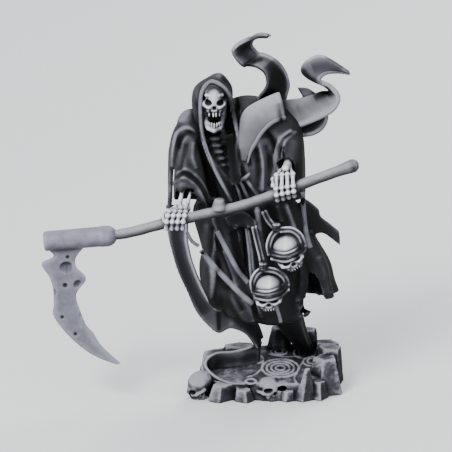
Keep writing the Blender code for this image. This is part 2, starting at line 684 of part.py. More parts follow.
BELL_ROOM = ((304, 262, 4, 5, 5), (306, 276, 0, 13, 14), (307, 292, -2, 17, 18), (309, 312, -4, 22, 20))
LEG = ((268, 262, 0, 22, 18), (276, 292, -1, 20, 18), (286, 316, 6, 17, 15), (296, 335, 16, 12, 12),
       (305, 350, 27, 9, 9), (FOOT_ACROSS, 362, FOOT_DEPTH, 10, 9))
HEM_LEFT = ((216, 235, 0, 5, 8), (211, 258, -1, 11, 14), (212, 280, -3, 12, 15), (216, 296, -4, 10, 13),
            (218, 306, -5, 7, 9))

# Front opening of the hood and chest: inner edge of its trim on both sides, and its depth down its length.
OPENING_LEFT = ((211, 87), (206, 93), (203.5, 102), (203.5, 120), (205, 137), (210, 153), (219, 172),
                (232, 196))
OPENING_RIGHT = ((213, 87), (220, 91), (227, 99), (230, 110), (232.5, 122), (236, 138), (240, 154),
                 (245, 171), (247, 178))
OPENING_BACK = ((-16,), (2,), (4,), (2,), (-6,), (-16,), (-22,), (-27,))
TRIM_LEFT = ((212, 83.5), (206, 87.5), (202, 96), (201, 108), (201.3, 122), (203, 137), (206.5, 150),
             (213, 166), (220, 180), (231, 200))
TRIM_RIGHT = ((212, 83.5), (219, 86), (226.5, 92.5), (231.5, 102), (234, 115), (236.5, 130), (240, 147),
              (244, 162), (248.5, 176))

# Cords and folds laid on the robe: sketch lines across and down, and half widths in sketch units.
LAID = (
    (((217, 231), (228, 252), (238, 270), (249, 283)), 2.4),
    (((201, 249), (212, 264), (225, 278), (240, 293), (253, 304)), 2.4),
    (((302, 192), (305, 225), (307, 245), (310, 248)), 2.0),
    (((198, 137), (193, 131), (187, 129), (181, 131), (176, 138), (174, 150), (172, 165)), 2.6),
    (((177, 175), (186, 170), (200, 180), (213, 203)), 1.8),
    (((174, 184), (182, 178), (192, 182), (200, 190), (208, 207)), 1.8),
    (((290, 132), (280, 140), (275, 155), (273, 170), (272, 182)), 2.4),
    (((295, 133), (285, 140), (282, 150), (283, 158)), 2.0),
    (((257, 208), (261, 235), (266, 264)), 2.8),
    (((286, 205), (292, 222), (300, 243)), 2.8),
    (((236, 226), (241, 250), (252, 290), (262, 316)), 3.0),
    (((214, 216), (216, 240), (213, 270), (212, 296)), 3.0),
    (((262, 190), (262, 165), (258, 145)), 2.4),
    (((300, 262), (302, 285), (300, 312)), 3.0),
)
CAPE_FRONT = ((200, 134, -12), (188, 127, -14), (177, 137, -13), (173, 155, -12), (171.5, 175, -11),
              (170.5, 195, -10), (169, 213, -8))
CAPE_BACK = ((202, 120, 8), (188, 116, 9), (177, 128, 11), (171, 148, 12), (170, 172, 12), (170, 195, 11),
             (169, 214, 9))
TATTERS = (
    (((302, 196, 4), (318, 208, 8), (321, 216, 10), (331, 224, 12), (340, 231, 14)),
     ((296, 214, 4), (308, 228, 8), (316, 233, 10), (325, 234, 12), (341, 246, 14))),
    (((207, 296, -8), (214, 300, -12), (222, 302, -14)),
     ((209, 303, -8), (215, 309, -12), (223, 311, -14))),
    (((289, 266, -20), (290, 284, -20), (290, 302, -19)),
     ((298, 270, -16), (301, 286, -15), (301, 298, -15))),
    (((224, 217, -28), (243, 211, -30), (256, 221, -29)),
     ((229, 226, -29), (243, 227, -31), (255, 228, -30))),
)


# Folds pressed into the robe's front: a line on the sketch, a half width, and a height (below nought in a
# groove).
FOLDS = (
    (((207, 222), (206, 245), (213, 270), (222, 296)), 5.0, 1.6),
    (((222, 250), (228, 268), (238, 288)), 3.0, 1.2),
    (((257, 208), (258, 235), (262, 262)), 3.5, 2.2),
    (((248, 228), (252, 250), (254, 275), (258, 300)), 2.6, 2.2),
    (((276, 205), (282, 222)), 3.0, 1.5),
    (((243, 298), (250, 310), (254, 322)), 4.0, 1.6),
    (((296, 262), (292, 285), (300, 310)), 3.5, 1.8),
    (((318, 255), (326, 275), (330, 295)), 4.0, 1.8),
    (((311, 275), (318, 288), (322, 298)), 2.6, 1.8),
    (((234, 230), (240, 255), (246, 277)), 5.0, -5.0),
    (((212, 226), (220, 250), (232, 282)), 2.2, -2.6),
    (((244, 226), (247, 250), (250, 282), (256, 318)), 2.0, -2.8),
    (((268, 206), (272, 232)), 3.6, -3.0),
    (((226, 285), (236, 300), (243, 312)), 4.0, -2.4),
    (((202, 143), (207, 162), (212, 186), (216, 203)), 2.6, -5.0),
    (((196, 104), (197, 124), (200, 142)), 1.6, -2.2),
    (((223, 80), (231, 88), (236, 100), (238, 114), (241, 130), (245, 147), (250, 166)), 1.8, -2.6),
    (((177, 132), (174, 150), (173, 168)), 1.6, 1.4),
    (((178, 150), (181, 140), (188, 134), (198, 137)), 1.6, -1.8),
    (((176, 180), (184, 174), (195, 180), (204, 191), (210, 205)), 1.6, -1.8),
    (((292, 134), (283, 141), (278.5, 153), (277, 168)), 1.6, -1.8),
    (((283, 148), (282, 153), (284, 160)), 1.3, -2.6),
    (((257, 190), (259, 168), (255, 148)), 3.2, -2.0),
    (((270, 188), (270, 165), (266, 145)), 3.0, -2.0),
    (((187, 144), (183, 160), (180, 172)), 2.6, -1.4),
    (((194, 142), (193, 158), (197, 170)), 2.8, 1.4),
)
# Upright folds of the back: how far across on the sketch, and how deep.
BACK_FOLDS = ((236, -2.4), (254, -3.2), (272, -2.8), (290, -2.2), (221, -1.8))


def press(item, folds):
    """Moves the front of a skin along its normals by each fold's height, less and less away from its line."""
    mesh = item.data
    count = len(mesh.vertices)
    places = np.empty(count * 3)
    normals = np.empty(count * 3)
    mesh.vertices.foreach_get("co", places)
    mesh.vertices.foreach_get("normal", normals)
    places = places.reshape(-1, 3)
    normals = normals.reshape(-1, 3)
    depth = places[:, 1] / UNIT
    across = places[:, 0] / UNIT + SKETCH_MIDDLE
    rise = (places[:, 2] - LIFT) / UNIT
    down = SKETCH_GROUND - rise * math.cos(SIGHT) - (depth + SKETCH_HALF_DEPTH) * math.sin(SIGHT)
    ahead = np.array((at(0, 0, 1) - at(0, 0, 0)).normalized())
    front = np.clip((-(normals @ ahead) - 0.15) / 0.35, 0, 1)
    move = np.zeros(count)
    for line, half, height in folds:
        path = np.array(smooth_path(line, 4 * len(line)))
        away = np.full(count, 1e9)
        share = np.zeros(count)
        for k, (a, b) in enumerate(zip(path, path[1:])):
            run = b - a
            t = np.clip(((across - a[0]) * run[0] + (down - a[1]) * run[1]) / (run @ run), 0, 1)
            here = np.hypot(across - a[0] - t * run[0], down - a[1] - t * run[1])
            closer = here < away
            away[closer] = here[closer]
            share[closer] = (k + t[closer]) / (len(path) - 1)
        ends = np.clip(np.minimum(share, 1 - share) * 8 + 0.35, 0, 1)
        move += height * UNIT * np.exp(-(away / half) ** 2) * ends * front
    rear = np.clip((normals[:, 1] - 0.3) / 0.4, 0, 1)
    rear *= np.clip((385 - down) / 30, 0, 1) * np.clip((down - 130) / 60, 0, 1)
    for place, height in BACK_FOLDS:
        move += height * UNIT * np.exp(-((across - place + 0.05 * (down - 250)) / 4.0) ** 2) * rear
    places += normals * move[:, None]
    mesh.vertices.foreach_set("co", places.ravel())
    mesh.update()


def build_body(neighbours):
    bm = bmesh.new()
    loft(bm, TORSO, 44, 30, 9, 0.06, 2.0)
    loft(bm, HOOD, 32, 20)
    loft(bm, SLEEVE_LEFT, 24, 12, 5, 0.05)
    loft(bm, SLEEVE_RIGHT, 24, 14, 5, 0.05)
    loft(bm, BELL, 28, 12, 6, 0.10)
    loft(bm, HEM_LEFT, 16, 10)
    ball(bm, at(192, 126, -2), (15 * UNIT, 15 * UNIT, 17 * UNIT), sides=16)
    ball(bm, at(248, 113, 0), (26 * UNIT, 17 * UNIT, 17 * UNIT), sides=16)
    strip(bm, CAPE_FRONT, CAPE_BACK, 14, 4, CLOTH_THICK * 1.2)
    for near, far in TATTERS:
        strip(bm, near, far, 8, 3, CLOTH_THICK)
    seen = sights_of(bm)
    laid = bmesh.new()
    for line, half in LAID:
        laid_cord(laid, seen, line, half * UNIT, 0.8)
    item = join_forms("robed_figure", bm, laid)
    fuse(item, VOXEL, 1)
    room = bmesh.new()
    wedge(room, OPENING_LEFT, OPENING_RIGHT, OPENING_BACK)
    loft(room, SLEEVE_LEFT_ROOM, 16, 8)
    loft(room, BELL_ROOM, 18, 10)
    loft(room, SKIRT_ROOM, 24, 10)
    ball(room, at(285, 168, -28), (9 * UNIT, 12 * UNIT, 9 * UNIT), sides=14)
    cut(item, finish_form("robe_openings", room, CUTTERS))
    hood = bmesh.new()
    loft(hood, HOOD, 32, 20)
    on_hood = sights_of(hood)
    hood.free()
    trim = bmesh.new()
    for line in (TRIM_LEFT, TRIM_RIGHT):
        laid_cord(trim, on_hood, line, TRIM_RADIUS, 0.0, 22)
    add_ribs(trim)
    loft(trim, LEG, 20, 14, 5, 0.14)
    add_forms(item, trim)
    fuse(item, VOXEL, 1)
    press(item, FOLDS)
    return make_room(item, neighbours, VOXEL)


def add_ribs(bm):
    """Knobs of ribs that show in the opening, the neck, the stole behind the trim, its ring and its ends."""
    for row, down in enumerate((139, 145.5, 152, 158.5, 165)):
        lean = row * 1.6
        ball(bm, at(214 + lean, down, -17 - row), (7.0 * UNIT, 5.0 * UNIT, 3.6 * UNIT), sides=12)
        ball(bm, at(209.5 + lean, down + 1.0, -17 - row), (3.4 * UNIT, 3.4 * UNIT, 3.2 * UNIT), sides=10)
    limb(bm, [at(221, 126, -8), at(225, 134, -12), at(224, 144, -15)], [3.6 * UNIT] * 3, 8)
    limb(bm, [at(222, 150, -8), at(228, 176, -16)], [5.0 * UNIT] * 2, 8)
    strip(bm, ((225, 136, -15), (228, 160, -20), (232, 186, -28)),
          ((237, 132, -15), (240, 158, -20), (242, 182, -28)), 8, 2, CLOTH_THICK)
    limb(bm, [at(242, 180, -32), at(245.5, 178, -33.5), at(249, 174.5, -33)], [2.4 * UNIT] * 3, 8)
    limb(bm, [at(246, 180, -32), at(252, 188, -33), at(258, 196, -33)], [2.2 * UNIT] * 3, 8)
    limb(bm, [at(241, 183, -31), at(245, 192, -32), at(250, 201, -31)], [2.0 * UNIT] * 3, 8)


def build_head():
    frame = face_frame(214.5, 126.5, -23, nod=2.0)
    neck = ((215, 124, -12), (219, 139, -6))
    return skull("head_skull", frame, HEAD_TALL, 0.145, 0.72, 0.55, 0.18, neck)


def skull(name, frame, tall, gape, narrow, dome=1.0, eyes=0.16, spine=None, extra=None):
    """A skull of one skin with its hollows."""
    lifted = frame @ Matrix.Translation((0.0, 0.0, (gape or 0.0) * tall))
    bm = bmesh.new()
    skull_forms(bm, lifted, tall, gape, narrow, dome)
    if spine:
        limb(bm, [at(*p) for p in spine], [3.4 * UNIT] * len(spine), 8)
    item = finish_form(name, bm)
    fuse(item, SMALL_VOXEL, 1)
    holes = bmesh.new()
    skull_hollows(holes, lifted, tall, narrow, eyes)
    cut(item, finish_form("hollows_of_" + name, holes, CUTTERS))
    if extra:
        shape = bmesh.new()
        shape.from_mesh(item.data)
        on_skull = sights_of(shape)
        shape.free()
        more = bmesh.new()
        extra(more, on_skull)
        add_forms(item, more)
    return fuse(item, SMALL_VOXEL, 0, TRIANGLES[name])


# Rope cages of the two trophy skulls: the rope each hangs by, at its depths, and the ropes on the skull.
UPPER_HANGER = ((264, 212, -30), (268, 220, -34), (273, 226, -40), (277, 230, -47))
UPPER_ROPES = (
    ((277, 230), (271.5, 236), (268.5, 245), (270, 254)),
    ((280, 230), (291, 230), (299.5, 236), (303.5, 246)),
    ((270, 252), (283, 255), (294, 252), (303, 245)),
    ((272, 257), (285, 259.5), (296, 255), (303, 249)),
)
UPPER_KNOTS = ((276, 227, 4.2), (270.5, 253, 3.2), (303, 246.5, 3.4))
LOWER_HANGER = ((254, 227, -31), (257, 240, -34), (261, 256, -40), (263, 268, -47))
LOWER_ROPES = (
    ((262, 269), (256, 274), (252.5, 282), (254, 291)),
    ((265, 269), (276, 271), (284, 277), (287, 285)),
    ((254, 291), (266, 293), (278, 290), (287, 283)),
    ((256, 296), (268, 298), (279, 294.5), (287, 288)),
)
LOWER_KNOTS = ((263, 266, 4.4), (254, 290.5, 3.2), (286.5, 285, 3.4))
CAGE_DEPTH = -47.0


def eased(values, rounds):
    """A row of numbers with its jumps smoothed out, ends kept."""
    for _ in range(rounds):
        inner = [(a + b + c) / 3 for a, b, c in zip(values, values[1:], values[2:])]
        values = [values[0], *inner, values[-1]]
    return values


def cage(hanger, ropes, knots):
    """A function that lays a rope cage on a skull."""
    def add(bm, on_skull):
        cord(bm, hanger, ROPE_RADIUS, 9)
        for line in ropes:
            path = smooth_path(line, 9)
            depths = [on_skull(*p, 1.0, CAGE_DEPTH).y / UNIT for p in path]
            limb(bm, [at(*p, d) for p, d in zip(path, eased(depths, 2))], [ROPE_RADIUS] * len(path), 8)
        for across, down, size in knots:
            ball(bm, on_skull(across, down, 0.0, CAGE_DEPTH), [size * UNIT] * 3, sides=10)
    return add


def build_trophies():
    upper = face_frame(298.5, 272, -48, nod=2, roll=-28, turn=6)
    lower = face_frame(271.5, 313.5, -48, nod=2, roll=-8, turn=-4)
    return [skull("trophy_skull_upper", upper, TROPHY_TALL, None, 1.0,
                  extra=cage(UPPER_HANGER, UPPER_ROPES, UPPER_KNOTS)),
            skull("trophy_skull_lower", lower, TROPHY_TALL, None, 1.0,
                  extra=cage(LOWER_HANGER, LOWER_ROPES, LOWER_KNOTS))]


def fingers(bm, rows):
    """Bony fingers: each a line of joints, with a knuckle on every joint."""
    for row in rows:
        places = [at(*p) for p in row]
        limb(bm, places, [FINGER_RADIUS] * len(places), 8)
        for place in places[:-1]:
            ball(bm, place, [FINGER_RADIUS * 1.3] * 3, sides=10)


def build_hands(shaft):
    bm = bmesh.new()
    rows = [((186 + k * 0.8, 206 + k, -40), (170 + 5.3 * k, 212.5, -47), (168.5 + 5.5 * k, 216, -54),
             (167.5 + 5.4 * k, 222, -56), (167 + 5.4 * k, 228.5, -53)) for k in range(4)]
    rows.append(((176, 208, -41), (168, 211.5, -44), (163.5, 216, -48), (165.5, 221, -54)))
    fingers(bm, rows)
    limb(bm, [at(184, 186, -20), at(180, 204, -36), at(181, 209, -42)],
         [2.6 * UNIT, 2.4 * UNIT, 4.0 * UNIT], 8)
    limb(bm, [at(192, 188, -20), at(188, 204, -37), at(185, 209, -42)],
         [2.0 * UNIT, 2.0 * UNIT, 3.6 * UNIT], 8)
    right = fuse(finish_form("right_hand", bm), SMALL_VOXEL, 1)
    bm = bmesh.new()
    rows = [((284 + 1.5 * k, 168, -33), (276 + 5.3 * k, 176 - 0.4 * k, -43),
             (275.5 + 5.6 * k, 189 - 0.8 * k, -50), (276 + 5.6 * k, 195.5 - 1.2 * k, -51.5),
             (277 + 5.5 * k, 200.5 - 1.4 * k, -47)) for k in range(4)]
    rows.append(((280, 172, -36), (273, 180, -42), (272.5, 186, -49)))
    fingers(bm, rows)
    limb(bm, [at(287, 160, -14), at(287, 166, -30), at(285, 170, -37)],
         [3.6 * UNIT, 4.4 * UNIT, 4.4 * UNIT], 8)
    left = fuse(finish_form("left_hand", bm), SMALL_VOXEL, 1)
    for hand in (right, left):
        make_room(hand, [shaft], SMALL_VOXEL)
    return [right, left]


def main():
    stone = material("stone_grey", (0.10, 0.10, 0.12), 0.75)
    cloth = material("cloth_grey", (0.12, 0.12, 0.15), 0.70)
    bone = material("bone_pale", (0.62, 0.63, 0.68), 0.60)
    wood = material("shaft_grey", (0.34, 0.35, 0.37), 0.62)
    steel = material("blade_grey", (0.26, 0.26, 0.30), 0.55)
    plinth = build_plinth()
    shaft = build_shaft()
    blade = build_blade()
    tail = build_tail()
    tall, broad, rear = build_ribbons()
    make_room(tail, [plinth], SMALL_VOXEL)
    make_room(tall, [broad], SMALL_VOXEL)
    make_room(rear, [broad, tall], SMALL_VOXEL)
    head = build_head()
    trophies = build_trophies()
    make_room(trophies[1], [trophies[0]], SMALL_VOXEL)
    hands = build_hands(shaft)
    neighbours = [plinth, shaft, tail, tall, broad, rear, head, *trophies, *hands]
    body = build_body(neighbours)
    looks = {stone: [plinth], cloth: [body, tail, tall, broad, rear], bone: [head, *trophies, *hands],
             wood: [shaft], steel: [blade]}
    for look, items in looks.items():
        for item in items:
            own = look.copy()
            own.name = item.name + "_resin"
            item.data.materials.clear()
            item.data.materials.append(own)
            item.data.update()


main()
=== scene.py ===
# %% [markdown]
# # A grim reaper figurine
# The real object is a small resin figure, cast in thirteen pieces, glued together and painted in greys with
# an airbrush and a dry brush. This lesson rebuilds its looks around fixed solids: every piece takes the
# place of the plain solid of the same name, keeps its form, and adds what a caster's mould would hold, from
# teeth to hems.

# %% Load the fixed solids
import json
import math

import bmesh
import bpy
import numpy as np
from mathutils import Matrix, Vector, noise
from mathutils.bvhtree import BVHTree

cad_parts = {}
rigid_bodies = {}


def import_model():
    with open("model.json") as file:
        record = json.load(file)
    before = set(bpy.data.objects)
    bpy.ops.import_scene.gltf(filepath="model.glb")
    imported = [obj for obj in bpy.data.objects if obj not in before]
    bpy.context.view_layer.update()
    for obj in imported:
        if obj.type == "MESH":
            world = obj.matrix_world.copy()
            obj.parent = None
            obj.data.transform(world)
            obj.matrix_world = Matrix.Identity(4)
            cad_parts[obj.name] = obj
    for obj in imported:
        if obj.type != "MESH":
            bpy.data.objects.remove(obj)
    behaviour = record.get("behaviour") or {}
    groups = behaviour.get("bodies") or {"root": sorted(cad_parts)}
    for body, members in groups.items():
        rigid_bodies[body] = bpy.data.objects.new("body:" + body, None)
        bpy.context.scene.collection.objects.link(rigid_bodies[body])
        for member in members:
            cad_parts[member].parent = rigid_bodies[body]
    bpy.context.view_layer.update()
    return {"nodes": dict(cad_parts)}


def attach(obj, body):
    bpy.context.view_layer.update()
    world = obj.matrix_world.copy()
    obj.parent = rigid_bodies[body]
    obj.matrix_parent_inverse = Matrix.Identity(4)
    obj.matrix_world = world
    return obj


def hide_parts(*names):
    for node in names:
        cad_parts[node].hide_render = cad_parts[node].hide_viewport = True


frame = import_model()
print("solids:", len(frame["nodes"]))

# %% [markdown]
# ## One front sketch for every piece
# A sculptor works from a front drawing. Ours looks down on the figure by 20 degrees and is 452 units
# square, with a quarter of a millimetre to a unit. A place on it, with a depth behind the figure's middle,
# is a place in space, so outlines can be read from the drawing while the depth is chosen freely.

# %% From sketch places to metres
SKETCH_SIZE = 452
UNIT = 0.00025
SIGHT = math.radians(20.0)
SKETCH_MIDDLE, SKETCH_GROUND, SKETCH_HALF_DEPTH = 269.0, 403.0, 48.0
PLINTH_WIDTH, PLINTH_DEPTH = 0.0375, 0.0242
PLINTH_FRONT, PLINTH_BACK = 0.0043, 0.0067
CLOTH_THICK = 0.00095
SHAFT_RADIUS = 0.00142


def plinth_top(x, y):
    share = (y + PLINTH_DEPTH / 2) / PLINTH_DEPTH
    return PLINTH_FRONT + (PLINTH_BACK - PLINTH_FRONT) * share


LIFT = plinth_top(37 * UNIT, 29.5 * UNIT) - 25.2 * UNIT


def at(across, down, depth):
    """World place of a sketch place at a depth."""
    rise = (SKETCH_GROUND - down - (depth + SKETCH_HALF_DEPTH) * math.sin(SIGHT)) / math.cos(SIGHT)
    return Vector(((across - SKETCH_MIDDLE) * UNIT, depth * UNIT, rise * UNIT + LIFT))


def smooth_path(points, steps):
    """Evenly numbered points on a smooth line through the given ones."""
    made, last = [], len(points) - 1
    for step in range(steps + 1):
        place = last * step / steps
        i = min(int(place), last - 1)
        t = place - i
        p0, p1, p2, p3 = (points[min(max(i + k, 0), last)] for k in (-1, 0, 1, 2))
        made.append(tuple(
            0.5 * (2 * b + (c - a) * t + (2 * a - 5 * b + 4 * c - d) * t * t
                   + (3 * b - a - 3 * c + d) * t ** 3)
            for a, b, c, d in zip(p0, p1, p2, p3)))
    return made


AHEAD = (at(0, 0, 1) - at(0, 0, 0)).normalized()
print("metres to a sketch unit:", UNIT, "figure raised by:", round(LIFT, 5))

# %% [markdown]
# ## Camera and studio
# Miniatures are photographed with a long lens from a little above, because a long lens keeps a small
# object's proportions. The floor and the soft lamps are plain. The key lamp stands high on the left, where
# the painter also put the brightest strokes.

# %% Place the camera, the floor and the lamps
FLOOR_REACH = 1.6
LAMPS_AIM = Vector((0.0, 0.0, 0.045))
lens = bpy.data.cameras.new("long_lens")
lens.lens, lens.sensor_width = 400.0, 36.0
lens.clip_end = 20.0
camera = bpy.data.objects.new("camera", lens)
bpy.context.scene.collection.objects.link(camera)
aim = at(SKETCH_SIZE / 2, SKETCH_SIZE / 2, 0)
distance = SKETCH_SIZE * UNIT * lens.lens / lens.sensor_width
camera.location = aim - AHEAD * distance
camera.rotation_euler = (math.pi / 2 - SIGHT, 0.0, 0.0)
bpy.context.scene.camera = camera

bm = bmesh.new()
bmesh.ops.create_grid(bm, x_segments=1, y_segments=1, size=FLOOR_REACH)
floor_mesh = bpy.data.meshes.new("studio_floor")
bm.to_mesh(floor_mesh)
bm.free()
floor = bpy.data.objects.new("studio_floor", floor_mesh)
bpy.context.scene.collection.objects.link(floor)

world = bpy.data.worlds.new("studio_air")
world.use_nodes = True
world.node_tree.nodes["Background"].inputs["Color"].default_value = (0.95, 0.96, 1.0, 1.0)
world.node_tree.nodes["Background"].inputs["Strength"].default_value = 0.85
bpy.context.scene.world = world


def lamp(name, place, power, size):
    """A soft square lamp that looks at the middle of the figure."""
    light = bpy.data.lights.new(name, "AREA")
    light.energy, light.size = power, size
    made = bpy.data.objects.new(name, light)
    made.location = place
    made.rotation_euler = (LAMPS_AIM - Vector(place)).to_track_quat("-Z", "Y").to_euler()
    bpy.context.scene.collection.objects.link(made)


lamp("key", (-0.28, -0.34, 0.46), 3.6, 0.22)
lamp("fill", (0.45, -0.40, 0.20), 0.9, 0.40)
lamp("rim", (0.20, 0.40, 0.40), 1.6, 0.25)
print("camera distance", round(distance, 3))

# %% [markdown]
# ## Clay: rough forms that are melted into one skin
# A digital sculptor blocks a figure in with balls, bars and lofts, lets them overlap, and then remeshes
# them into a single skin. We do the same: each form comes from a bmesh operator in a small bmesh of its
# own, which is poured into a bigger one, because an operator in a big bmesh is slow.

# %% Balls, bars and lofts
def pour(clay, form):
    """Adds a form's mesh to the clay."""
    mesh = bpy.data.meshes.new("form")
    form.to_mesh(mesh)
    form.free()
    clay.from_mesh(mesh)
    bpy.data.meshes.remove(mesh)


def ball(clay, centre, radii, turn=None, sides=20):
    """A ball, or an egg with three radii of its own."""
    form = bmesh.new()
    grow = Matrix.Diagonal(Vector(radii)).to_4x4()
    place = Matrix.Translation(centre) @ (turn.to_4x4() if turn else Matrix()) @ grow
    bmesh.ops.create_uvsphere(form, u_segments=sides, v_segments=max(8, sides // 2), radius=1.0, matrix=place)
    pour(clay, form)


def limb(clay, places, radii, sides=14):
    """A rounded bar through places: tapered cones with a ball on every corner."""
    form = bmesh.new()
    for place, radius in zip(places, radii):
        bmesh.ops.create_uvsphere(form, u_segments=sides, v_segments=sides // 2, radius=radius,
                                  matrix=Matrix.Translation(place))
    for start, end, r1, r2 in zip(places, places[1:], radii, radii[1:]):
        along = end - start
        if along.length > 1e-7:
            turn = along.to_track_quat("Z", "Y").to_matrix().to_4x4()
            bmesh.ops.create_cone(form, cap_ends=True, segments=sides, radius1=r1, radius2=r2,
                                  depth=along.length, matrix=Matrix.Translation((start + end) / 2) @ turn)
    pour(clay, form)


def loft(clay, sections, sides=72, rings=60, folds=0, fold_depth=0.0, twist=0.0):
    """A closed form through level ovals: across, down, depth, half width and half depth in sketch units."""
    form = bmesh.new()
    line = smooth_path(sections, rings)
    made = bmesh.ops.create_uvsphere(form, u_segments=sides, v_segments=rings, radius=1.0)
    for vert in made["verts"]:
        share = math.acos(max(-1.0, min(1.0, vert.co.z))) / math.pi
        around = math.atan2(vert.co.y, vert.co.x)
        flat = min(1.0, math.hypot(vert.co.x, vert.co.y) / math.sin(math.pi / min(rings, 24)))
        across, down, depth, wide, deep = line[round(share * rings)]
        wave = math.sin(folds * around + twist * share)
        wave += 0.45 * math.sin((folds + 3) * around - 2 * twist * share)
        swell = flat * (1.0 + fold_depth * share * wave)
        vert.co = at(across, down, depth)
        vert.co += Vector((wide * math.cos(around), deep * math.sin(around), 0.0)) * swell * UNIT
    pour(clay, form)


def plate(form, cells_along, cells_across):
    """A flat closed plate, one by one and one thick, ready to be bent."""
    made = bmesh.ops.create_grid(form, x_segments=cells_along, y_segments=cells_across, size=0.5,
                                 matrix=Matrix.Translation((0.5, 0.5, 0.0)))
    faces = list({face for vert in made["verts"] for face in vert.link_faces})
    lifted = bmesh.ops.extrude_face_region(form, geom=faces, use_keep_orig=True)
    top = [item for item in lifted["geom"] if isinstance(item, bmesh.types.BMVert)]
    bmesh.ops.translate(form, verts=top, vec=(0.0, 0.0, 1.0))
    return made["verts"] + top


def facings(near_line, far_line):
    """The way the cloth between two edges faces at each step, evened out where it turns over."""
    last = len(near_line) - 1
    raw = []
    for i in range(last + 1):
        before, after = max(i - 1, 0), min(i + 1, last)
        ahead = near_line[after] + far_line[after] - near_line[before] - far_line[before]
        raw.append(ahead.cross(far_line[i] - near_line[i]).normalized())
    reach = max(1, last // 20)
    made = []
    for i in range(last + 1):
        total = sum(raw[max(0, i - reach):i + reach + 1], Vector())
        made.append(total.normalized() if total.length > 1e-3 else raw[i])
    return made


def right_side_out(form):
    """Turns the faces of a closed form outwards."""
    if form.calc_volume(signed=True) < 0:
        bmesh.ops.reverse_faces(form, faces=form.faces)


def strip(clay, near, far, along, across, thick=CLOTH_THICK, bulge=0.0, round_edge=0.0):
    """Cloth between two edges of sketch places, bent out in its middle by a share of its width."""
    form = bmesh.new()
    near_line = [at(*p) for p in smooth_path(near, along)]
    far_line = [at(*p) for p in smooth_path(far, along)]
    outs = facings(near_line, far_line)
    for vert in plate(form, along, across):
        i, side = round(vert.co.x * along), vert.co.y
        curve = bulge * (far_line[i] - near_line[i]).length * 4 * side * (1 - side)
        vert.co = near_line[i].lerp(far_line[i], side) + outs[i] * (curve + (vert.co.z - 0.5) * thick)
    bmesh.ops.recalc_face_normals(form, faces=form.faces)
    if round_edge:
        rims = [edge for edge in form.edges if edge.is_manifold and edge.calc_face_angle() > 1.0]
        bmesh.ops.bevel(form, geom=rims, offset=round_edge, segments=2, profile=0.5, affect="EDGES",
                        material=-1)
    right_side_out(form)
    pour(clay, form)


# %% Finding the front, and laying cords and straps on it
def sights_of(clay):
    """A function that gives the place first seen on the clay from the front, moved towards the viewer."""
    tree = BVHTree.FromBMesh(clay)

    def seen(across, down, lift=0.0, default=-20.0):
        place = tree.ray_cast(at(across, down, -200.0), AHEAD)[0]
        if place is None:
            place = at(across, down, default)
        return place - AHEAD * lift * UNIT

    return seen


def sights_on(piece):
    """The same for a piece that is already a mesh."""
    shape = bmesh.new()
    shape.from_mesh(piece.data)
    seen = sights_of(shape)
    shape.free()
    return seen


def laid_cord(clay, seen, points, radius, lift=0.0, steps=0):
    """A round cord on what is seen along a sketch line."""
    line = smooth_path(points, steps or 6 * len(points))
    limb(clay, [seen(*p, lift) for p in line], [radius] * len(line), 12)


def laid_strap(clay, seen, points, half, lift, thick):
    """A flat strap with square ends on what is seen along a sketch line."""
    line = smooth_path(points, 8 * len(points))
    form = bmesh.new()
    last = len(line) - 1
    for vert in plate(form, last, 2):
        i = round(vert.co.x * last)
        before, after = line[max(i - 1, 0)], line[min(i + 1, last)]
        run = Vector((after[0] - before[0], after[1] - before[1])).normalized()
        side = (vert.co.y * 2 - 1) * half
        middle = seen(*line[i], lift)
        shift = at(-run.y * side, run.x * side, 0) - at(0, 0, 0)
        vert.co = middle + shift - AHEAD * (vert.co.z - 0.5) * thick
    bmesh.ops.recalc_face_normals(form, faces=form.faces)
    right_side_out(form)
    pour(clay, form)


# %% From clay to a finished piece
def piece_of(name, clay):
    """A piece in the scene, made of the clay."""
    mesh = bpy.data.meshes.new(name)
    clay.to_mesh(mesh)
    clay.free()
    made = bpy.data.objects.new(name, mesh)
    bpy.context.scene.collection.objects.link(made)
    return made


def settle(piece):
    """Applies a piece's modifiers."""
    shown = piece.evaluated_get(bpy.context.evaluated_depsgraph_get())
    mesh = bpy.data.meshes.new_from_object(shown)
    piece.modifiers.clear()
    piece.data = mesh
    return piece


def melt(piece, voxel, rounds=2):
    """Melts overlapping closed forms into one skin and softens it like worn clay."""
    remesh = piece.modifiers.new("one_skin", "REMESH")
    remesh.mode = "VOXEL"
    remesh.voxel_size = voxel
    if rounds:
        soften = piece.modifiers.new("soften", "SMOOTH")
        soften.factor, soften.iterations = 0.5, rounds
    return settle(piece)


def carve(piece, clay, name, voxel):
    """Cuts a form out of a piece."""
    tool = melt(piece_of(name, clay), voxel, 0)
    cut = piece.modifiers.new("carve", "BOOLEAN")
    cut.operation, cut.solver, cut.object = "DIFFERENCE", "MANIFOLD", tool
    settle(piece)
    bpy.data.objects.remove(tool)


def add_clay(piece, clay):
    """Adds more clay to a piece."""
    extra = bpy.data.meshes.new("extra")
    clay.to_mesh(extra)
    clay.free()
    both = bmesh.new()
    both.from_mesh(piece.data)
    both.from_mesh(extra)
    both.to_mesh(piece.data)
    both.free()


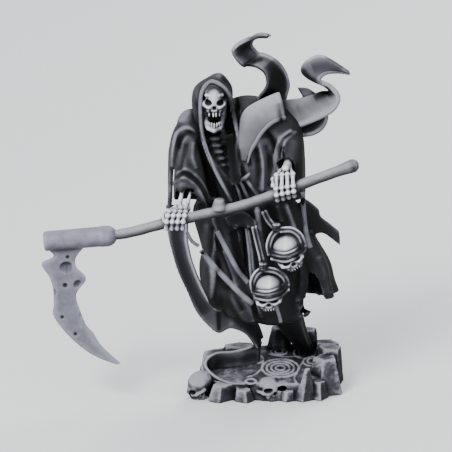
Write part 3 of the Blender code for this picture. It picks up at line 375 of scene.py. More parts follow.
def tidy_bodies(piece):
    """Keeps the largest closed body, so that no crumb floats beside it."""
    whole = bmesh.new()
    whole.from_mesh(piece.data)
    whole.verts.ensure_lookup_table()
    mark = [-1] * len(whole.verts)
    sizes = []
    for start in whole.verts:
        if mark[start.index] >= 0:
            continue
        edge, count = [start], 0
        mark[start.index] = len(sizes)
        while edge:
            vert = edge.pop()
            count += 1
            for line in vert.link_edges:
                other = line.other_vert(vert)
                if mark[other.index] < 0:
                    mark[other.index] = len(sizes)
                    edge.append(other)
        sizes.append(count)
    best = sizes.index(max(sizes))
    bmesh.ops.delete(whole, geom=[v for v in whole.verts if mark[v.index] != best], context="VERTS")
    whole.to_mesh(piece.data)
    whole.free()
    return piece


# %% [markdown]
# ## Pressing folds into a skin
# Folds in a cast cloak are soft ridges and grooves that the sculptor drew with a ball tool. A stroke is a
# line on the front sketch with a half width and a height. Every point of the skin that faces the viewer
# moves along its normal by the height, less and less away from the stroke's line. Numpy does it for all
# points at once.

# %% Strokes of the ball tool
def points_of(piece):
    """Places and normals of a piece's points, as arrays."""
    count = len(piece.data.vertices)
    places, normals = np.empty(count * 3), np.empty(count * 3)
    piece.data.vertices.foreach_get("co", places)
    piece.data.vertices.foreach_get("normal", normals)
    return places.reshape(-1, 3), normals.reshape(-1, 3)


def on_sketch(places):
    """Where places, one to a row, are seen on the sketch: across and down."""
    across = places[:, 0] / UNIT + SKETCH_MIDDLE
    down = (SKETCH_GROUND - (places[:, 2] - LIFT) / UNIT * math.cos(SIGHT)
            - (places[:, 1] / UNIT + SKETCH_HALF_DEPTH) * math.sin(SIGHT))
    return across, down


def stroke_sum(places, normals, strokes, facing=0.15):
    """The summed height of all strokes at every point that faces the viewer."""
    across, down = on_sketch(places)
    front = np.clip((-(normals @ np.array(AHEAD)) - facing) / 0.35, 0, 1)
    total = np.zeros(len(places))
    for points, half, height in strokes:
        line = np.array(smooth_path(points, 5 * len(points)))
        near = ((across > line[:, 0].min() - 4 * half) & (across < line[:, 0].max() + 4 * half)
                & (down > line[:, 1].min() - 4 * half) & (down < line[:, 1].max() + 4 * half))
        x, y = across[near], down[near]
        best, share = np.full(len(x), 1e9), np.zeros(len(x))
        for k, (a, b) in enumerate(zip(line, line[1:])):
            run = b - a
            t = np.clip(((x - a[0]) * run[0] + (y - a[1]) * run[1]) / (run @ run + 1e-12), 0, 1)
            away = np.hypot(x - a[0] - t * run[0], y - a[1] - t * run[1])
            closer = away < best
            best[closer] = away[closer]
            share[closer] = (k + t[closer]) / (len(line) - 1)
        ends = np.clip(np.minimum(share, 1 - share) * 8 + 0.35, 0, 1)
        total[near] += height * np.exp(-(best / half) ** 2) * ends
    return total * front


def push_out(piece, places, normals, heights):
    """Moves every point along its normal by its height in sketch units."""
    places += normals * (heights * UNIT)[:, None]
    piece.data.vertices.foreach_set("co", places.ravel())
    piece.data.update()


def press(piece, strokes):
    """Presses strokes into the skin."""
    places, normals = points_of(piece)
    push_out(piece, places, normals, stroke_sum(places, normals, strokes))


def dab(across, down, half, height, reach=1.0):
    """A stroke so short that it is a spot."""
    return ((across - reach, down), (across + reach, down)), half, height


def beside(line, across, down):
    """A sketch line, shifted."""
    return [(place[0] + across, place[1] + down) for place in line]


def keep_mark(piece, name, values):
    """Keeps a number for every point of the piece, for the paint to read."""
    layer = piece.data.attributes.get(name) or piece.data.attributes.new(name, "FLOAT", "POINT")
    layer.data.foreach_set("value", np.asarray(values, dtype=np.float32))


def tint(piece, strokes):
    """Lightens or darkens the paint along strokes: painted highlight, painted shade and the paler or darker
    paint of some parts.
    """
    places, normals = points_of(piece)
    keep_mark(piece, "tint", stroke_sum(places, normals, strokes, -0.4))


def roughen(piece, scale, height):
    """Weathers a piece by noise, all but its underside."""
    ways = [vert.normal.copy() for vert in piece.data.vertices]
    for vert, way in zip(piece.data.vertices, ways):
        if vert.co.z > 0.0003:
            vert.co += way * height * noise.fractal(vert.co * scale, 0.6, 2.2, 4)


# %% [markdown]
# ## What the painter sees: ridges, hollows and light from above
# Dry-brushing leaves pale paint on ridges as a painted highlight, a wash leaves dark paint in hollows as
# painted shade, and an airbrush held above the figure paints the light itself. Each is a number that belongs
# to a point of the surface, so we measure it on the mesh and keep it as an attribute for the paint to read. A
# ridge is where a point stands proud of its blurred neighbours. Light is how much of the sky a point sees
# past the solids around it, times how far it faces the lamp that the painter had in mind. A ray that starts
# just inside a solid leaves through a back face, and counts as open.

# %% Measure the relief and the light
def solids_around():
    """One search tree of all the fixed solids."""
    corners, faces = [], []
    for item in frame["nodes"].values():
        start = len(corners)
        corners.extend(item.matrix_world @ vert.co for vert in item.data.vertices)
        faces.extend([start + i for i in face.vertices] for face in item.data.polygons)
    return BVHTree.FromPolygons(corners, faces)


SKY = [Vector(d).normalized() for d in (
    (-0.35, -0.55, 0.85), (0.35, -0.65, 0.6), (-0.8, -0.2, 0.5), (0.1, 0.3, 0.95), (0.8, -0.1, 0.55),
    (-0.2, -0.95, 0.15), (0.5, 0.6, 0.5), (-0.55, 0.6, 0.5), (0.7, -0.7, 0.05), (-0.75, -0.65, 0.05),
    (0.05, -0.75, 0.75), (-0.5, -0.1, 0.9))]
LAMP_WAY = Vector((-0.35, -0.60, 0.75)).normalized()
SKY_REACH = 0.012
SKIN_GAP = 0.0005
EVEN_LIGHT = 0.35
POINTS_LIT = 12000
solid_tree = solids_around()


def light_at(place, up):
    """How much of the sky a point sees past the solids, from nought to one."""
    start = place + up * SKIN_GAP
    light = total = 0.0
    for way in SKY:
        slope = way.dot(up)
        if slope <= 0.05:
            total += EVEN_LIGHT * max(0.0, way.dot(LAMP_WAY))
            continue
        weight = slope * (EVEN_LIGHT + max(0.0, way.dot(LAMP_WAY)))
        total += weight
        hit = solid_tree.ray_cast(start, way, SKY_REACH)
        open_sky = hit[0] is None or hit[1].dot(way) > 0.0
        light += weight * (1.0 if open_sky else (hit[3] / SKY_REACH) ** 1.5)
    return light / max(total, 1e-6)


def measure(piece, fine, broad):
    """Keeps ridge, hollow and light: fine and broad are the rounds of blur for the first two."""
    mesh = piece.data
    co, normal = points_of(piece)
    count = len(co)
    ends = np.empty(len(mesh.edges) * 2, dtype=np.int64)
    mesh.edges.foreach_get("vertices", ends)
    a, b = ends.reshape(-1, 2).T
    links = np.maximum(np.bincount(a, minlength=count) + np.bincount(b, minlength=count), 1)
    length = np.linalg.norm(co[a] - co[b], axis=1).mean()

    def blur(values, rounds):
        for _ in range(rounds):
            total = np.bincount(a, values[b], count) + np.bincount(b, values[a], count)
            values = 0.4 * values + 0.6 * total / links
        return values

    def proud(rounds):
        soft = np.stack([blur(co[:, k], rounds) for k in range(3)], axis=1)
        return ((co - soft) * normal).sum(axis=1) / (length * math.sqrt(rounds))

    step = 1 + count // POINTS_LIT
    known, lit = np.zeros(count), np.zeros(count)
    for i in range(0, count, step):
        lit[i], known[i] = light_at(Vector(co[i]), Vector(normal[i])), 1.0
    if step > 1:
        total, share = blur(lit, 2 + step), blur(known, 2 + step)
        lit = total / np.maximum(share, 1e-6)
    toward = np.clip(0.4 + 0.6 * (normal @ np.array(LAMP_WAY)), 0.0, 1.0)
    lit = blur(lit, 3) * (0.30 + 0.80 * blur(toward, 1) ** 1.2)
    found = {"ridge": blur(proud(fine), 1), "hollow": blur(proud(broad), 1), "light": lit}
    for name, values in found.items():
        keep_mark(piece, name, values)
    spread = {name: [round(float(np.percentile(v, p)), 3) for p in (5, 50, 95)] for name, v in found.items()}
    print(piece.name, "points", count, spread)


# %% [markdown]
# ## Shader maths as plain Python
# A paint recipe is easier to read as a sum than as a tangle of nodes. This small class wraps a socket, so
# that plus, minus and times on two values add the Math node that does it.

# %% A number in a paint recipe
class Amount:
    """A value socket that can be added, subtracted, multiplied and raised."""

    def __init__(self, bench, socket):
        self.bench, self.socket = bench, socket

    def _do(self, how, first, second):
        return self.bench.maths(how, first, second)

    def __add__(self, other):
        return self._do("ADD", self, other)

    def __radd__(self, other):
        return self._do("ADD", other, self)

    def __sub__(self, other):
        return self._do("SUBTRACT", self, other)

    def __rsub__(self, other):
        return self._do("SUBTRACT", other, self)

    def __mul__(self, other):
        return self._do("MULTIPLY", self, other)

    def __rmul__(self, other):
        return self._do("MULTIPLY", other, self)

    def __pow__(self, other):
        return self._do("POWER", self, other)

    def kept(self):
        """The same value, kept between nought and one."""
        return self.bench.node("ShaderNodeClamp", {}, {"Value": self})


class Bench:
    """One material on the paint bench."""

    def __init__(self, name):
        self.material = bpy.data.materials.new(name)
        self.material.use_nodes = True
        self.tree = self.material.node_tree
        self.shader = self.tree.nodes["Principled BSDF"]

    def node(self, kind, settings, inputs, output=0):
        made = self.tree.nodes.new(kind)
        for key, value in settings.items():
            if key == "stops":
                ramp = made.color_ramp
                while len(ramp.elements) < len(value):
                    ramp.elements.new(0.5)
                for stop, (place, colour) in zip(ramp.elements, value):
                    stop.position, stop.color = place, (*colour, 1.0)
            else:
                setattr(made, key, value)
        for key, value in inputs.items():
            self.join(value, made.inputs[key])
        return Amount(self, made.outputs[output])

    def join(self, value, socket):
        if isinstance(value, Amount):
            self.tree.links.new(value.socket, socket)
        elif isinstance(value, tuple) and len(value) == 3 and socket.type == "RGBA":
            socket.default_value = (*value, 1.0)
        else:
            socket.default_value = value

    def maths(self, how, first, second):
        return self.node("ShaderNodeMath", {"operation": how}, {0: first, 1: second})

    def mark(self, name):
        """An attribute of the piece's own surface."""
        return self.node("ShaderNodeAttribute", {"attribute_name": name}, {}, 2)

    def place(self):
        return self.node("ShaderNodeTexCoord", {}, {}, 3)

    def cloud(self, scale, detail=4.0, rough=0.55):
        """Soft noise through the piece."""
        where = self.place()
        return self.node("ShaderNodeTexNoise", {}, {"Vector": where, "Scale": scale, "Detail": detail,
                                                    "Roughness": rough})

    def step(self, value, low, high):
        """Nought below low, one above high, and a soft rise between."""
        return self.node("ShaderNodeMapRange", {"interpolation_type": "SMOOTHSTEP"},
                         {"Value": value, "From Min": low, "From Max": high})

    def blend(self, share, first, second):
        """One colour into another."""
        made = self.tree.nodes.new("ShaderNodeMix")
        made.data_type = "RGBA"
        self.join(share, made.inputs[0])
        self.join(first, made.inputs[6])
        self.join(second, made.inputs[7])
        return Amount(self, made.outputs[2])

    def bump(self, height, strength, distance):
        made = self.node("ShaderNodeBump", {}, {"Height": height, "Strength": strength, "Distance": distance})
        self.join(made, self.shader.inputs["Normal"])

    def finish(self, colour, roughness):
        self.join(colour, self.shader.inputs["Base Color"])
        self.join(roughness, self.shader.inputs["Roughness"])
        return self.material


# %% [markdown]
# ## Six paints
# Robe, ribbons, bone, shaft, steel and stone are all the same resin under matt acrylic, so they share one
# way of painting: a ramp from shadow to light, driven by the painted light, then a dark wash of painted shade
# in hollows, then a pale dry-brushed painted highlight on ridges, and a faint mottle over all. Only the
# colours and the amounts differ.

# %% Mix the paints
# The third colour is the painted shade in the hollows, and the fourth, edge, the painted highlight on the
# ridges.
def paint(name, ramp, hollow_shade, edge, relief=1.6, lift=0.45, dark=1.5, highlight_low=0.05, highlight_high=0.20,
          highlight_most=0.8, hollow_shade_low=0.04, hollow_shade_high=0.25, mottle=0.10, grain=2600.0, bump=0.10, rough=0.62,
          gloss=0.12):
    """A ramp by the painted light, painted shade in the hollows, a painted highlight on the ridges and a
    mottle.
    """
    bench = Bench(name)
    bench.shader.inputs["Specular IOR Level"].default_value = gloss
    light, ridge, hollow, tone_and_light_mark = (bench.mark(mark) for mark in ("light", "ridge", "hollow", "tint"))
    cloud = bench.cloud(420.0, 5.0, 0.6)
    fine = bench.cloud(grain, 3.0, 0.6)
    spots = 1.0 + (cloud - 0.5) * (6 * mottle) + (fine - 0.5) * (2 * mottle)
    # Painted light and shade: brighter where the painted light falls and on proud folds, darker in hollows,
    # plus the painted strokes.
    tone = (light.kept() ** dark) * (hollow * relief + lift) * spots + tone_and_light_mark
    colour = bench.node("ShaderNodeValToRGB", {"stops": ramp}, {0: tone.kept()})
    # Painted shade: the hollows darken towards the third colour.
    deep = bench.step(hollow * -1.0 + (cloud - 0.5) * 0.1, hollow_shade_low, hollow_shade_high)
    colour = bench.blend(deep * 0.8, colour, hollow_shade)
    # Painted highlight: pale paint on the ridges that the painted light reaches.
    ridge_highlight = bench.step(ridge + (fine - 0.5) * 0.06, highlight_low, highlight_high) * (light.kept() ** 0.7) * highlight_most
    colour = bench.blend((ridge_highlight + ridge_highlight * tone_and_light_mark * 2.4).kept(), colour, edge)
    bench.bump(fine * 0.7 + cloud * 0.3, 0.35, bump * 0.001)
    return bench.finish(colour, rough + 0.12 * (cloud - 0.5) + 0.08 * deep)


# Each ramp runs from the paint's painted shadow to its painted highlight.
CLOTH_DARK = [(0.0, (0.0016, 0.0016, 0.0020)), (0.25, (0.006, 0.006, 0.0075)), (0.5, (0.022, 0.022, 0.026)),
              (0.75, (0.065, 0.065, 0.075)), (1.0, (0.17, 0.17, 0.20))]
CLOTH_PALE = [(0.0, (0.002, 0.002, 0.003)), (0.25, (0.014, 0.014, 0.018)), (0.5, (0.06, 0.06, 0.07)),
              (0.75, (0.17, 0.17, 0.19)), (1.0, (0.36, 0.36, 0.40))]
BONE = [(0.0, (0.006, 0.006, 0.008)), (0.25, (0.05, 0.05, 0.062)), (0.5, (0.22, 0.225, 0.26)),
        (0.75, (0.50, 0.51, 0.57)), (1.0, (0.80, 0.81, 0.86))]
SHAFT = [(0.0, (0.010, 0.010, 0.012)), (0.3, (0.06, 0.06, 0.065)), (0.6, (0.15, 0.15, 0.16)),
         (1.0, (0.32, 0.32, 0.35))]
STEEL = [(0.0, (0.02, 0.02, 0.027)), (0.3, (0.06, 0.06, 0.08)), (0.6, (0.13, 0.13, 0.165)),
         (1.0, (0.24, 0.24, 0.30))]
STONE = [(0.0, (0.002, 0.002, 0.0025)), (0.3, (0.012, 0.012, 0.015)), (0.6, (0.045, 0.045, 0.055)),
         (1.0, (0.30, 0.30, 0.34))]

# The third colour of each paint is its painted shade in hollows, the fourth its painted highlight on ridges.
robe_paint = paint("robe_paint", CLOTH_DARK, (0.0010, 0.0010, 0.0015), (0.22, 0.22, 0.26),
                   relief=2.6, lift=0.52, highlight_low=0.04, highlight_most=0.72)
ribbon_paint = paint("ribbon_paint", CLOTH_PALE, (0.003, 0.003, 0.004), (0.32, 0.32, 0.37),
                     relief=1.2, lift=0.76, mottle=0.035)
bone_paint = paint("bone_paint", BONE, (0.004, 0.0035, 0.005), (0.74, 0.75, 0.80),
                   relief=2.2, lift=0.62, dark=1.1, hollow_shade_low=0.015, hollow_shade_high=0.16, mottle=0.05, gloss=0.2)
shaft_paint = paint("shaft_paint", SHAFT, (0.008, 0.008, 0.010), (0.42, 0.42, 0.46),
                    lift=0.62, dark=1.3, gloss=0.2)
steel_paint = paint("steel_paint", STEEL, (0.006, 0.006, 0.009), (0.40, 0.40, 0.46),
                    relief=2.4, lift=0.78, dark=1.0, mottle=0.16, rough=0.5, gloss=0.3)
stone_paint = paint("stone_paint", STONE, (0.0012, 0.0012, 0.0018), (0.30, 0.30, 0.35),
                    relief=2.6, lift=0.74, dark=1.2, mottle=0.16, grain=1800.0, bump=0.25, rough=0.75)
PAINTS = (robe_paint, ribbon_paint, bone_paint, shaft_paint, steel_paint, stone_paint)
print("paints:", ", ".join(mixed.name for mixed in PAINTS))

pale = Bench("floor_white")
pale.finish(pale.blend(pale.cloud(3.0) * 0.02, (0.86, 0.87, 0.88), (0.80, 0.81, 0.83)), 0.8)
floor.data.materials.append(pale.material)


def place_piece(piece, node, paint_used, fine, broad, strokes=()):
    """Gives a piece its relief and painted-light numbers, its painted strokes and its paint, and puts it
    where its solid stands.
    """
    piece.data.shade_smooth()
    measure(piece, fine, broad)
    tint(piece, strokes)
    piece.data.materials.clear()
    piece.data.materials.append(paint_used)
    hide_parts(node)
    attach(piece, "root")
    triangles = sum(len(face.vertices) - 2 for face in piece.data.polygons)
    print(piece.name, "triangles", triangles)


# %% [markdown]
# ## The three blown ends of the cloak
# Each is one long strip of thick cloth that twists in the wind. A strip is drawn by its two edges. The
# plate between them is bent to both, and its four long corners are bevelled, because a cast edge is never
# sharp and the pale line of painted highlight that a brush leaves needs a round to sit on. A thin hem runs
# along one edge.

# %% Bend the ribbons
RIBBONS = {
    "ribbon_tall": (
        ((283, 106, 10), (286, 92, 10), (287, 85, 9), (284, 75, 8), (278, 66, 8), (271, 60.6, 9),
         (263, 57, 10), (257, 55.6, 10), (252, 50.5, 9), (250, 46.6, 7), (251.6, 41.6, 4), (258, 38, 1),
         (264, 37.6, -1), (269, 38, -3)),
        ((250, 112, 0), (258, 99, -5), (265, 90, -8), (266.5, 83, -9), (264, 75, -9), (257, 69.5, -8),
         (248, 67.3, -6), (242.4, 68, -4), (235, 60.6, -3), (232, 54, -4), (235, 49, -5), (241.6, 44, -5),
         (253, 40, -4), (267, 40.5, -4))),
    "ribbon_broad": (
        ((247, 163, -24), (250, 152, -25), (255, 143, -25), (262, 132, -24), (272, 123, -22), (283, 119, -18),
         (277, 124, -11), (278, 128, -6), (290, 129, -5), (305, 123.7, -6), (321, 117, -6), (332, 110, -3),
         (337, 101, 2), (335, 94, 5), (328, 87, 8), (319, 83, 10), (319, 78, 11), (326, 73.5, 11),
         (337, 73, 10), (348, 75, 9)),
        ((241, 161, -22), (239, 147, -23), (239, 132, -22), (241, 117, -20), (250, 106.5, -16), (276, 94, -8),
         (274, 99, -1), (277, 101, 3), (287, 100.5, 4), (300, 99, 6), (311, 96, 9), (320, 93, 16),
         (328, 92, 23), (329, 89, 27), (322, 84, 27), (306, 77, 22), (300.5, 70, 18), (306, 61.5, 15),
         (322, 57, 13), (348, 72.5, 9))),
    "ribbon_rear": (
        ((283, 133, 4), (292, 135, 3), (309, 134.5, 3), (320, 129, 4), (325, 120, 8), (324, 110, 14),
         (316, 102, 20), (303, 98, 24)),
        ((283, 119, 9), (295, 118, 9), (306, 115, 10), (314, 110, 12), (317, 104, 16), (315, 96, 22),
         (308, 89, 27), (297, 88, 30))),
}

# Strokes of painted highlight and painted shade: places on the sketch, half width, and how much lighter or
# darker.
RIBBON_PAINTED_LIGHT = {
    "ribbon_tall": (
        (((262, 103), (274, 88), (276, 74), (268, 64)), 10.0, -0.52),
        (((284, 104), (287, 85), (283, 73), (271, 60), (257, 55)), 1.8, 0.42),
        (((243, 67.5), (252, 64.5), (262, 60.5)), 2.2, -0.5),
        (((236, 62), (235, 52), (246, 43)), 2.0, 0.20),
        (((240, 52), (247, 60), (256, 63)), 7.0, -0.30)),
    "ribbon_broad": (
        (((243, 150), (243, 128), (256, 108), (272, 98)), 7.0, 0.12),
        (((277, 94), (283, 119)), 2.4, 0.30),
        (((279, 104), (281, 124)), 3.0, -0.45),
        (((296, 112), (312, 106), (326, 98)), 7.5, -0.16),
        (((313, 99), (322, 94), (328, 89)), 4.0, -0.45),
        (((285, 128), (305, 123), (325, 115), (336, 105), (335, 95), (328, 87), (318, 81)), 1.8, 0.34),
        (((311, 70), (325, 66), (341, 72)), 7.0, -0.22),
        (((302, 70), (309, 79), (322, 84)), 2.2, -0.35),
        (((306, 62), (322, 57), (348, 73)), 1.8, 0.22)),
    "ribbon_rear": (
        (((290, 127), (308, 126), (318, 117), (312, 100)), 7.0, -0.30),
        (((283, 133), (309, 134.5), (325, 120), (316, 102)), 1.6, 0.30)),
}
HEM, RIBBON_ROUND = 0.00064, 0.00018
for name, (near, far) in RIBBONS.items():
    clay = bmesh.new()
    steps = 12 * (len(near) - 1)
    strip(clay, near, far, steps, 14, CLOTH_THICK, 0.05, RIBBON_ROUND)
    hem = [at(*p) for p in smooth_path(near, steps)]
    limb(clay, hem, [HEM * min(1.0, 0.55 + 6 * i * (steps - i) / steps ** 2) for i in range(steps + 1)], 10)
    place_piece(piece_of(name + "_cast", clay), name, ribbon_paint, 2, 40, RIBBON_PAINTED_LIGHT[name])

# %% [markdown]
# ## The long tail of the cloak
# It falls beside the robe and ends in a standing curl on the plinth. The falling strip and the curl are two
# plates that share the turn, melted into one skin.

# %% Bend the tail and its curl
TAIL_OUTER = ((166, 205, 10), (168, 232, 9), (172, 250, 8), (178, 270, 6), (187, 290, 3), (197, 312, 0),
              (210, 327, -2), (219, 333, -3), (230, 328.5, -3), (243, 333, -2), (252, 342, -2),
              (257, 350, -3))
TAIL_INNER = ((188, 205, 6), (186, 236, 2), (188, 250, 0), (191, 262, -2), (197, 278, -4), (205, 295, -7),
              (212, 305, -9), (219, 310.5, -10), (230, 304.5, -9), (243, 308, -5), (256, 323, 3),
              (262, 338, 8))
CURL_TOP = ((261, 344, 4), (247, 350, 0), (232, 353.5, -3), (216, 355, -9), (207, 361, -16), (206, 368, -24),
            (211, 374, -32), (220, 380, -38), (232, 384, -41), (244, 384.5, -40))
TAIL_STEPS, CURL_STEPS = 110, 60
TAIL_HEM, CURL_HEM = 0.00050, 0.00046
TAIL_VOXEL = 0.00017
clay = bmesh.new()
strip(clay, TAIL_OUTER, TAIL_INNER, TAIL_STEPS, 12, CLOTH_THICK, -0.04)
form = bmesh.new()
rim = [at(*p) for p in smooth_path(CURL_TOP, CURL_STEPS)]
middle = at(234, 370, -20)
for vert in plate(form, CURL_STEPS, 6):
    i = round(vert.co.x * CURL_STEPS)
    out = rim[i] - middle
    out.z = 0.0
    foot = rim[i] - out.normalized() * 2.0 * UNIT
    foot.z = plinth_top(foot.x, foot.y) - 0.0001
    vert.co = foot.lerp(rim[i], vert.co.y) + out.normalized() * (vert.co.z - 0.5) * CLOTH_THICK
bmesh.ops.recalc_face_normals(form, faces=form.faces)
pour(clay, form)
hem = [at(*p) for p in smooth_path(TAIL_INNER, TAIL_STEPS)]
limb(clay, hem, [TAIL_HEM] * len(hem), 10)
limb(clay, rim, [CURL_HEM] * len(rim), 10)
tail = melt(piece_of("cloak_tail_cast", clay), TAIL_VOXEL, 2)
# Painted shade down the middle of the tail, in its crease, below its bulge and inside the curl, and painted
# highlight on its edges and its bulge.
TAIL_PAINTED_LIGHT = (
    (((176, 205), (176, 240), (180, 262), (186, 280), (195, 298), (206, 316)), 8.5, -0.42),
    (((188, 205), (186, 236), (188, 250), (191, 262), (197, 278), (205, 295), (212, 305)), 2.0, 0.34),
    (((166, 208), (169, 235), (178, 270), (190, 298), (204, 322)), 1.8, 0.14),
    (((218, 312), (219, 331)), 2.0, -0.4),
    (((231, 307), (232, 326)), 3.2, 0.20),
    (((243, 312), (252, 330), (257, 345)), 6.0, -0.30),
    (((213, 366), (226, 376), (244, 376)), 6.5, -0.30),
    (((214, 361), (236, 361), (258, 357)), 5.0, -0.30),
    (((262, 344), (247, 350), (232, 353.5), (216, 355), (207, 361), (206, 368), (211, 374), (220, 380),
      (232, 384), (244, 384.5)),
     2.0,
     -0.08),
)
place_piece(tail, "cloak_tail", ribbon_paint, 4, 70, TAIL_PAINTED_LIGHT)

# %% [markdown]
# ## Skulls
# Every skull on the figure is the same sculpt at another size: a brain case, a face, brow, cheekbones, a
# jaw on its two branches, and teeth. The hollows are carved afterwards, as a sculptor pushes eye sockets in
# with a ball tool. Sizes are shares of the skull's height, so one recipe serves the head, the trophies and
# the skulls in the rubble.

# %% The skull recipe
# How far round the jaw each upper tooth sits, in degrees, and where the tips end as a share of the height.
SHORT_TEETH = ((-50, -30, -10, 10, 30, 50), 0.205)
GAPPY_TEETH = ((-46, -8, 15, 48), 0.180)
LOWER_TEETH = (-50, -25, 0, 25, 50)


def skull_forms(clay, frame_of, tall, gape=None, narrow=1.0, dome=1.0, upper=SHORT_TEETH):
    """The solid masses of a skull in a frame with its face to -y: shares of its own height, chin at zero.

    Gape is how far the jaw hangs open, and without one there is no jaw. Upper gives the upper teeth: how far
    round the jaw each sits, in degrees, and where their tips end.
    """
    def put(x, y, z):
        return frame_of @ Vector((x * tall * narrow, y * tall, z * tall))

    turn = frame_of.to_3x3()

    def lump(x, y, z, a, b, c):
        ball(clay, put(x, y, z), (a * tall * narrow, b * tall, c * tall), turn, 28)

    def bar(points, radii):
        limb(clay, [put(*p) for p in points], [r * tall for r in radii], 14)

    lump(0.0, 0.10, 0.67 - 0.3 * (1.0 - dome), 0.34, 0.42 * dome, 0.33 * dome)
    lump(0.0, -0.15, 0.48, 0.25, 0.22, 0.26)
    lump(0.0, -0.06, 0.60, 0.28, 0.20, 0.17)
    lump(0.0, -0.19, 0.325, 0.18, 0.15, 0.085)
    bar([(-0.20, -0.20, 0.59), (-0.11, -0.27, 0.60), (0.0, -0.29, 0.59), (0.11, -0.27, 0.60),
         (0.20, -0.20, 0.59)], [0.048] * 5)
    for side in (-1, 1):
        bar([(side * 0.14, -0.30, 0.385), (side * 0.25, -0.22, 0.40), (side * 0.31, -0.04, 0.45),
             (side * 0.30, 0.08, 0.50)], [0.06, 0.065, 0.04, 0.05])
        lump(side * 0.16, -0.22, 0.35, 0.07, 0.10, 0.12)
    angles, tip = upper
    for angle in map(math.radians, angles):
        x, y = 0.19 * math.sin(angle), -0.15 - 0.15 * math.cos(angle)
        bar([(x, y, 0.27), (x, y, 0.13 + tip / 2), (x, y, tip)], [0.017, 0.022, 0.018])
    if gape is None:
        return
    for side in (-1, 1):
        bar([(side * 0.28, 0.02, 0.46), (side * 0.25, 0.0, 0.22 - gape), (side * 0.17, -0.20, 0.08 - gape)],
            [0.05, 0.06, 0.06])
    bar([(-0.14, -0.23, 0.06 - gape), (0.0, -0.28, 0.03 - gape), (0.14, -0.23, 0.06 - gape)], [0.065] * 3)
    bar([(-0.15, -0.20, 0.11 - gape), (0.0, -0.27, 0.09 - gape), (0.15, -0.20, 0.11 - gape)], [0.042] * 3)
    for angle in map(math.radians, LOWER_TEETH):
        x, y = 0.17 * math.sin(angle), -0.15 - 0.16 * math.cos(angle)
        bar([(x, y, 0.10 - gape), (x, y, 0.15 - gape), (x, y, 0.185 - gape)], [0.015, 0.018, 0.015])


def skull_hollows(clay, frame_of, tall, narrow=1.0, eyes=0.16, temples=True):
    """Eye sockets, nose and temples of the same skull. Eyes is how far each socket is from its middle."""
    turn = frame_of.to_3x3()
    hollows = [(-eyes, -0.37, 0.475, 0.125, 0.20, 0.072), (eyes, -0.37, 0.475, 0.125, 0.20, 0.072),
               (-0.025, -0.42, 0.365, 0.035, 0.16, 0.065), (0.025, -0.42, 0.365, 0.035, 0.16, 0.065)]
    if temples:
        hollows += [(-0.36, -0.12, 0.60, 0.09, 0.13, 0.12), (0.36, -0.12, 0.60, 0.09, 0.13, 0.12)]
    for x, y, z, a, b, c in hollows:
        place = frame_of @ Vector((x * tall * narrow, y * tall, z * tall))
        ball(clay, place, (a * tall * narrow, b * tall, c * tall), turn, 20)


def face_frame(across, down, depth, nod=0.0, turn=0.0, roll=0.0):
    """A frame whose zero is a skull's chin: nod looks down, turn looks to the right, in degrees."""
    spin = (Matrix.Rotation(math.radians(roll), 4, "Y") @ Matrix.Rotation(math.radians(turn), 4, "Z")
            @ Matrix.Rotation(math.radians(nod), 4, "X"))
    return Matrix.Translation(at(across, down, depth)) @ spin


def skull(name, frame_of, tall, gape, narrow, voxel, dome=1.0, eyes=0.16, upper=SHORT_TEETH,
          more=None):
    """A finished skull. More is a function that adds its own clay before the skull is melted."""
    lifted = frame_of @ Matrix.Translation((0.0, 0.0, (gape or 0.0) * tall))
    clay = bmesh.new()
    skull_forms(clay, lifted, tall, gape, narrow, dome, upper)
    if more:
        more(clay)
    piece = melt(piece_of(name, clay), voxel, 2)
    holes = bmesh.new()
    skull_hollows(holes, lifted, tall, narrow, eyes)
    carve(piece, holes, "hollows", voxel)
    return tidy_bodies(melt(piece, voxel, 1))


# %% The head in the hood
HEAD_TALL, HEAD_VOXEL = 0.0125, 0.00011


def neck(clay):
    """Four bones of the neck and the flesh behind them."""
    for k in range(4):
        ball(clay, at(215 + 1.6 * k, 124 + 5 * k, -12 + 2 * k), (3.6 * UNIT, 3.4 * UNIT, 2.0 * UNIT))
    limb(clay, [at(215, 124, -12), at(219, 139, -6)], [2.6 * UNIT] * 2)


head = skull("head_skull_cast", face_frame(214.5, 127.8, -23, nod=2.0), HEAD_TALL, gape=0.145, narrow=0.72,
             voxel=HEAD_VOXEL, dome=0.55, eyes=0.18, upper=GAPPY_TEETH, more=neck)
# Painted shade: the brain case under the hood, the sides of the face, the eye sockets, the gap between the
# teeth and the neck are darkened.
HEAD_PAINTED_SHADE = (
    (((203, 91), (214, 89), (226, 91)), 4.5, -0.60), (((203, 99), (203, 116), (206, 128)), 2.2, -0.30),
    (((227, 99), (226, 116), (223, 128)), 2.6, -0.35), (((207, 101.5), (209, 101.5)), 2.6, -0.35),
    (((221, 102), (223, 102)), 2.6, -0.35), (((209, 120.5), (221, 120.5)), 1.6, -0.40),
    (((216, 128), (222, 140)), 4.0, -0.25))
place_piece(head, "head_skull", bone_paint, 3, 60, HEAD_PAINTED_SHADE)

# %% [markdown]
# ## Trophy skulls in rope cages
# Two skulls hang at the hip on ropes. On the real kit, rope and skull are one casting, so the ropes are
# bars that lie on the skull and melt into it. The knots are wound balls.

